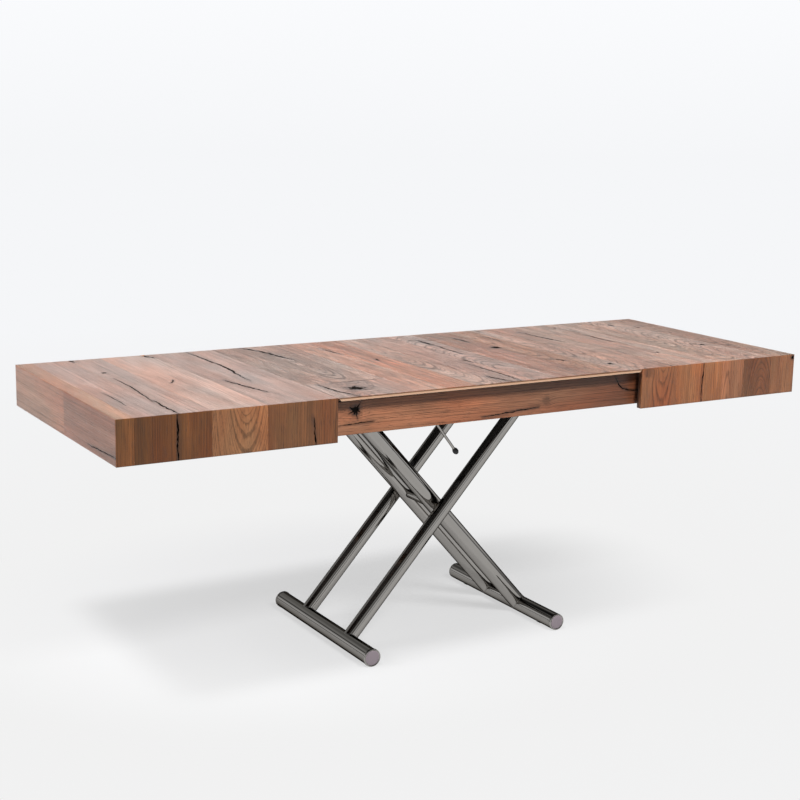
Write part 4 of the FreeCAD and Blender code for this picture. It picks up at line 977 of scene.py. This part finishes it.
black_nickel = solid_finish("black_nickel_plating", "#A09D99", "#989591", 1.0, 0.06, 60.0, 0.02, 0.03,
                            edge="#0E0E0F")
cap_plastic = solid_finish("lilac_grey_moulded_plastic", "#9C9096", "#95888F", 0.0, 0.30, 3.0, 0.05)
black_coat = solid_finish("black_powder_coat", "#1C1C1D", "#232324", 0.0, 0.48, 0.8, 0.06)
zinc = solid_finish("zinc_plated_steel", "#B9BCBF", "#A7ABAE", 1.0, 0.36, 6.0, 0.02, 0.12)
bright_steel = solid_finish("ground_bright_steel", "#B4B3B0", "#A5A4A1", 1.0, 0.26, 2.0, 0.02, 0.10,
                            (1, 0.1, 1))
brass = solid_finish("machined_bronze_bush", "#B08A4E", "#A37F46", 1.0, 0.32, 1.5, 0.02, 0.10)
nylon = solid_finish("black_moulded_nylon", "#1A1A1B", "#202021", 0.0, 0.52, 1.2, 0.04)


PLY = 0.0042           # the brown top ply, face included
SEAM = 0.0003          # half the width over which the ply's colour turns into the core's


def leaf_core():
    """A pale core under the brown top ply, with painted shade, near black, on its underside. It shows on the
    leaf's edge.
    """
    material, tree = new_material("raw_pale_core")
    place = add(tree, "TexCoord").outputs["Object"]
    height = add(tree, "SeparateXYZ", [place]).outputs["Z"]
    way = add(tree, "VectorMath", [place, (1, 0.12, 6)], operation="MULTIPLY")
    grain = add(tree, "TexNoise", {"Vector": way, "Scale": 110.0, "Detail": 3.0})
    core = add(tree, "Mix", {0: grain, 6: paint("#E3BA9D"), 7: paint("#CFA687")}, data_type="RGBA")
    ply = add(tree, "Mix", {0: grain, 6: paint("#8F6A4E"), 7: paint("#7B573E")}, data_type="RGBA")
    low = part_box("left_leaf_core")[0].z
    above = add(tree, "MapRange", [height, TOP_Z - PLY - SEAM, TOP_Z - PLY + SEAM])
    # painted shade: the core's underside, in the shadow under the table, is painted near black
    shaded_underside = add(tree, "MapRange", [height, low + 2 * SEAM, low + SEAM])
    colour = add(tree, "Mix", {0: above, 6: core, 7: ply}, data_type="RGBA")
    colour = add(tree, "Mix", {0: shaded_underside, 6: colour, 7: paint("#1D1815")}, data_type="RGBA")
    bump = add(tree, "Bump", {"Height": grain, "Strength": 0.4, "Distance": 0.00006})
    surface = add(tree, "BsdfPrincipled", {"Base Color": colour, "Roughness": 0.62, "Normal": bump})
    add(tree, "OutputMaterial", [surface])
    return material


pale_core = leaf_core()
frame_oak_x = oak("frame_oak_along_x", "#8A6045", "X")
frame_oak_y = oak("frame_oak_along_y", "#855C42", "Y")

# %% [markdown]
# ## Tubes
# Each leg is a cylinder laid between two points. Where it stands on its floor bar, a boolean takes the
# bar's own cylinder out of it, so the leg ends in a saddle, as a coped tube does before it is welded.
# A fine weld bead follows the seam: it is a curve, and its shape is known, because a cylinder of
# radius r meets one of radius R at a height of the square root of R squared less r squared times the
# cosine squared of the angle around it.

# %% Tube helpers
SEGMENTS = 96
BEAD_RADIUS = 0.0011   # of the weld metal


def cylinder_mesh(start, end, radius, segments=SEGMENTS):
    """A closed cylinder from start to end."""
    start, end = Vector(start), Vector(end)
    bm = bmesh.new()
    bmesh.ops.create_cone(bm, cap_ends=True, segments=segments, radius1=radius, radius2=radius,
                          depth=(end - start).length, matrix=facing((start + end) / 2, end - start))
    return bm


def tube(name, start, end, radius, body, node, cutters=()):
    """A plated tube from start to end, with shapes taken out of it."""
    item = object_from(cylinder_mesh(start, end, radius), name, [black_nickel])
    for cutter in cutters:
        cut_out(item, cutter, [black_nickel])
    item.data.set_sharp_from_angle(angle=SHARP)
    settle(item, body, [node])


def weld_bead(name, foot, way, leg_radius, bar_radius, body):
    """A thin ring of weld metal round the foot of a leg."""
    side = AXES["Y"]
    across = way.cross(side).normalized()
    curve = bpy.data.curves.new(name, "CURVE")
    curve.dimensions = "3D"
    curve.bevel_depth = BEAD_RADIUS
    curve.bevel_resolution = 3
    spline = curve.splines.new("POLY")
    spline.points.add(SEGMENTS - 1)
    spline.use_cyclic_u = True
    for i, point in enumerate(spline.points):
        angle = 2 * math.pi * i / SEGMENTS
        height = math.sqrt(max(0.0, bar_radius ** 2 - (leg_radius * math.cos(angle)) ** 2))
        spot = foot + across * leg_radius * math.cos(angle) + side * leg_radius * math.sin(angle)
        point.co = (*(spot + way * height), 1)
    rough = put_in_scene(name + "_curve", curve)
    mesh = bpy.data.meshes.new_from_object(rough.evaluated_get(bpy.context.evaluated_depsgraph_get()))
    bpy.data.objects.remove(rough)
    mesh.shade_smooth()
    mesh.materials.clear()
    mesh.materials.append(black_nickel)
    settle(put_in_scene(name, mesh), body, [])


# %% Floor bars and legs
BAR_LOW, BAR_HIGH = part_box("floor_bar_left")
BAR_RADIUS = (BAR_HIGH.z - BAR_LOW.z) / 2
BAR_Z = (BAR_HIGH.z + BAR_LOW.z) / 2
LEFT_BAR_X = (BAR_HIGH.x + BAR_LOW.x) / 2
RIGHT_BAR_X = -LEFT_BAR_X
BAR_END = BAR_HIGH.y
CROSS_LOW, CROSS_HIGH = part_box("outer_cross_tube")
OUTER_RADIUS = (CROSS_HIGH.z - CROSS_LOW.z) / 2
OUTER_TOP = Vector(((CROSS_LOW.x + CROSS_HIGH.x) / 2, 0, (CROSS_LOW.z + CROSS_HIGH.z) / 2))
OUTER_Y = 0.131
INNER_RADIUS = 0.025
INNER_Y = 0.082
INNER_TOP = Vector((-OUTER_TOP.x, 0, OUTER_TOP.z))
INNER_OVERRUN = 0.014  # the inner legs go on past their axle
WHEEL_Y = 0.205        # from the middle of the table to each floor wheel
WHEEL_SLOT = (-0.0155, -0.009, -0.036), (0.0155, 0.009, -0.011)     # from the bar's axis
SLOT_TURN = math.radians(16.5)     # the slot is square to the floor halfway through the fold
PIVOT_RADIUS = 0.014
print("bars of radius", round(BAR_RADIUS, 4), "at", round(LEFT_BAR_X, 4), "and", round(RIGHT_BAR_X, 4))


def leg(name, x, top, y, radius, overrun, body, node):
    """One leg tube with its saddle end and weld bead."""
    foot, top = Vector((x, y, BAR_Z)), top + Vector((0, y, 0))
    way = (top - foot).normalized()
    reach = Vector((0, 3 * radius, 0))
    bar = cylinder_mesh(foot - reach, foot + reach, BAR_RADIUS)
    tube(name, foot, top + way * overrun, radius, body, node, [bar])
    weld_bead(name + "_weld", foot, way, radius, BAR_RADIUS, body)


for sign, word in ((-1, "front"), (1, "back")):
    leg(f"outer_leg_{word}_tube", LEFT_BAR_X, OUTER_TOP, sign * OUTER_Y, OUTER_RADIUS, -OUTER_RADIUS * 0.9,
        "outer_legs", f"outer_leg_{word}")
    leg(f"inner_leg_{word}_tube", RIGHT_BAR_X, INNER_TOP, sign * INNER_Y, INNER_RADIUS, INNER_OVERRUN,
        "inner_legs", f"inner_leg_{word}")


def wheel_slot(y):
    """The opening under the right bar that a floor wheel looks out of."""
    bm = box_mesh(*WHEEL_SLOT)
    turn = Matrix.Translation((RIGHT_BAR_X, y, BAR_Z)) @ Matrix.Rotation(SLOT_TURN, 4, "Y")
    bmesh.ops.transform(bm, matrix=turn, verts=bm.verts[:])
    return bm


pivot_low, pivot_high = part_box("center_cross_tube")
for name, x, z, half, radius, body, node, cutters in (
        ("left_bar_tube", LEFT_BAR_X, BAR_Z, BAR_END, BAR_RADIUS, "outer_legs", "floor_bar_left", []),
        ("right_bar_tube", RIGHT_BAR_X, BAR_Z, BAR_END, BAR_RADIUS, "inner_legs", "floor_bar_right",
         [wheel_slot(-WHEEL_Y), wheel_slot(WHEEL_Y)]),
        ("upper_cross_tube", OUTER_TOP.x, OUTER_TOP.z, CROSS_HIGH.y, OUTER_RADIUS, "outer_legs",
         "outer_cross_tube", []),
        ("pivot_cross_tube", 0.0, (pivot_low.z + pivot_high.z) / 2, pivot_high.y, PIVOT_RADIUS, "inner_legs",
         "center_cross_tube", [])):
    tube(name, (x, -half, z), (x, half, z), radius, body, node, cutters)

# %% [markdown]
# ## Turned pieces
# End caps and the lever's knob are round about an axis, so each is half an outline spun about it, as
# on a lathe. The spin merges its first and last rows, and both poles are closed by merging points.

# %% Turned pieces
SEAT, DOME = 0.84, 0.0014   # radius of the disc against the rim's, and its rise


def spun(name, outline, place, direction, material, steps=64):
    """Spin an outline of (radius, height) points about a direction through a place."""
    bm = bmesh.new()
    verts = [bm.verts.new((radius, 0, height)) for radius, height in outline]
    for a, b in zip(verts, verts[1:]):
        bm.edges.new((a, b))
    bmesh.ops.spin(bm, geom=bm.verts[:] + bm.edges[:], cent=(0, 0, 0), axis=(0, 0, 1), angle=2 * math.pi,
                   steps=steps, use_merge=True, use_duplicate=False)
    bmesh.ops.remove_doubles(bm, verts=bm.verts[:], dist=1e-6)
    bmesh.ops.recalc_face_normals(bm, faces=bm.faces[:])
    bmesh.ops.transform(bm, matrix=facing(place, direction), verts=bm.verts[:])
    return object_from(bm, name, [material])


def tube_end(rim, plug, thick):
    """The closed end of a bar: a plug, a thin shadow groove, a rolled edge and a shallow seat."""
    seat = SEAT * rim
    return [(0, -0.030), (plug, -0.030), (plug, -0.0002), (rim - 0.0006, 0.0), (rim, 0.0008),
            (rim, thick - 0.0026), (rim - 0.0004, thick - 0.0014), (rim - 0.0014, thick - 0.0006),
            (rim - 0.0028, thick - 0.0004), (seat + 0.0006, thick - 0.0008), (seat, thick - 0.0016),
            (0, thick - 0.0016)]


def disc_outline(rim, thick):
    """A low dome with a soft edge, set in the seat."""
    seat = SEAT * rim - 0.0003
    dome = [(seat * math.sin(math.radians(a)), thick - DOME + DOME * math.cos(math.radians(a)) ** 0.7)
            for a in (86, 76, 64, 50, 36, 22, 10)]
    return [(0, thick - 0.0018), (seat, thick - 0.0018), (seat, thick - DOME)] + dome + [(0, thick)]


CAP_LOW, CAP_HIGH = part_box("foot_caps")
CAP_RIM = (CAP_HIGH.x - CAP_LOW.x) / 2
CAP_THICK = CAP_HIGH.y - BAR_END
BAR_ENDS = [
    # bar, its place, radius of its rim, body, node
    ("foot", LEFT_BAR_X, BAR_Z, "floor_feet", "foot_caps"),
    ("bar", RIGHT_BAR_X, BAR_RADIUS, "inner_legs", "bar_end_caps"),
]
for word, sign in (("front", -1), ("back", 1)):
    for name, x, rim, body, node in BAR_ENDS:
        place, way = (x, sign * BAR_END, BAR_Z), (0, sign, 0)
        end = spun(f"{name}_end_{word}", tube_end(rim, BAR_RADIUS - 0.002, CAP_THICK), place, way,
                   black_nickel)
        settle(end, body, [node])
        disc = spun(f"{name}_cap_{word}", disc_outline(rim, CAP_THICK), place, way, cap_plastic)
        settle(disc, body, [node])

# %% Lever
LEVER_ROOT = Vector((-0.135, -0.220, 0.727))
LEVER_LENGTH, KNOB_LENGTH = 0.201, 0.022
LEVER_RADIUS = 0.004
LEVER_ANGLE = math.radians(52.4)
# the rod starts this far from the lever's root, and goes this far into the knob
LEVER_START, IN_KNOB = 0.006, 0.004
lever_way = Vector((math.cos(LEVER_ANGLE), 0, -math.sin(LEVER_ANGLE)))
rod = cylinder_mesh(LEVER_ROOT + lever_way * LEVER_START,
                    LEVER_ROOT + lever_way * (LEVER_LENGTH - KNOB_LENGTH + IN_KNOB), LEVER_RADIUS, 32)
settle(object_from(rod, "lever_handle_rod", [black_nickel]), "release_lever", ["lever_rod"])
KNOB = [(0, 0.0), (0.0043, 0.0), (0.0050, 0.0012), (0.0064, 0.0035), (0.0078, 0.0070), (0.0085, 0.0105),
        (0.0082, 0.0140), (0.0068, 0.0175), (0.0047, 0.0202), (0.0022, 0.0216), (0, 0.0220)]
knob = spun("lever_egg_knob", KNOB, LEVER_ROOT + lever_way * (LEVER_LENGTH - KNOB_LENGTH), lever_way,
            nylon, 48)
settle(knob, "release_lever", ["lever_knob"])

# %% [markdown]
# ## Finishes for the measured solids
# The rest of the frame keeps its measured shape: slides, beams, rollers, runners and the gas spring.
# Each gets the finish of its real material by name.

# %% Finishes by node
FINISHES = [
    (frame_oak_y, "frame_end_rails"),
    (frame_oak_x, "left_runners right_runners left_leaf_battens right_leaf_battens"),
    (pale_core, "left_leaf_core right_leaf_core"),
    (bright_steel, "outer_pivot_pins center_pivot_pins roller_axle wheel_axles gas_spring_rod"
                   " gas_spring_valve_pin"),
    (brass, "center_bushes"),
    (black_coat, "lift_crank cross_beam_left cross_beam_right subframe_rails roller_track_front"
                 " roller_track_back pivot_brackets lever_bearings gas_spring_mount gas_spring_cylinder"
                 " lever_shaft"),
    (nylon, "wheel_carriers floor_wheel_front floor_wheel_back track_roller_front track_roller_back"),
    (zinc, "slide_outer_left slide_middle_left slide_inner_left slide_outer_right slide_middle_right"
           " slide_inner_right"),
]
for finish, names in FINISHES:
    for name in names.split():
        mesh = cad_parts[name].data
        mesh.materials.clear()
        mesh.materials.append(finish)
print("finishes:", [finish.name for finish, names in FINISHES])
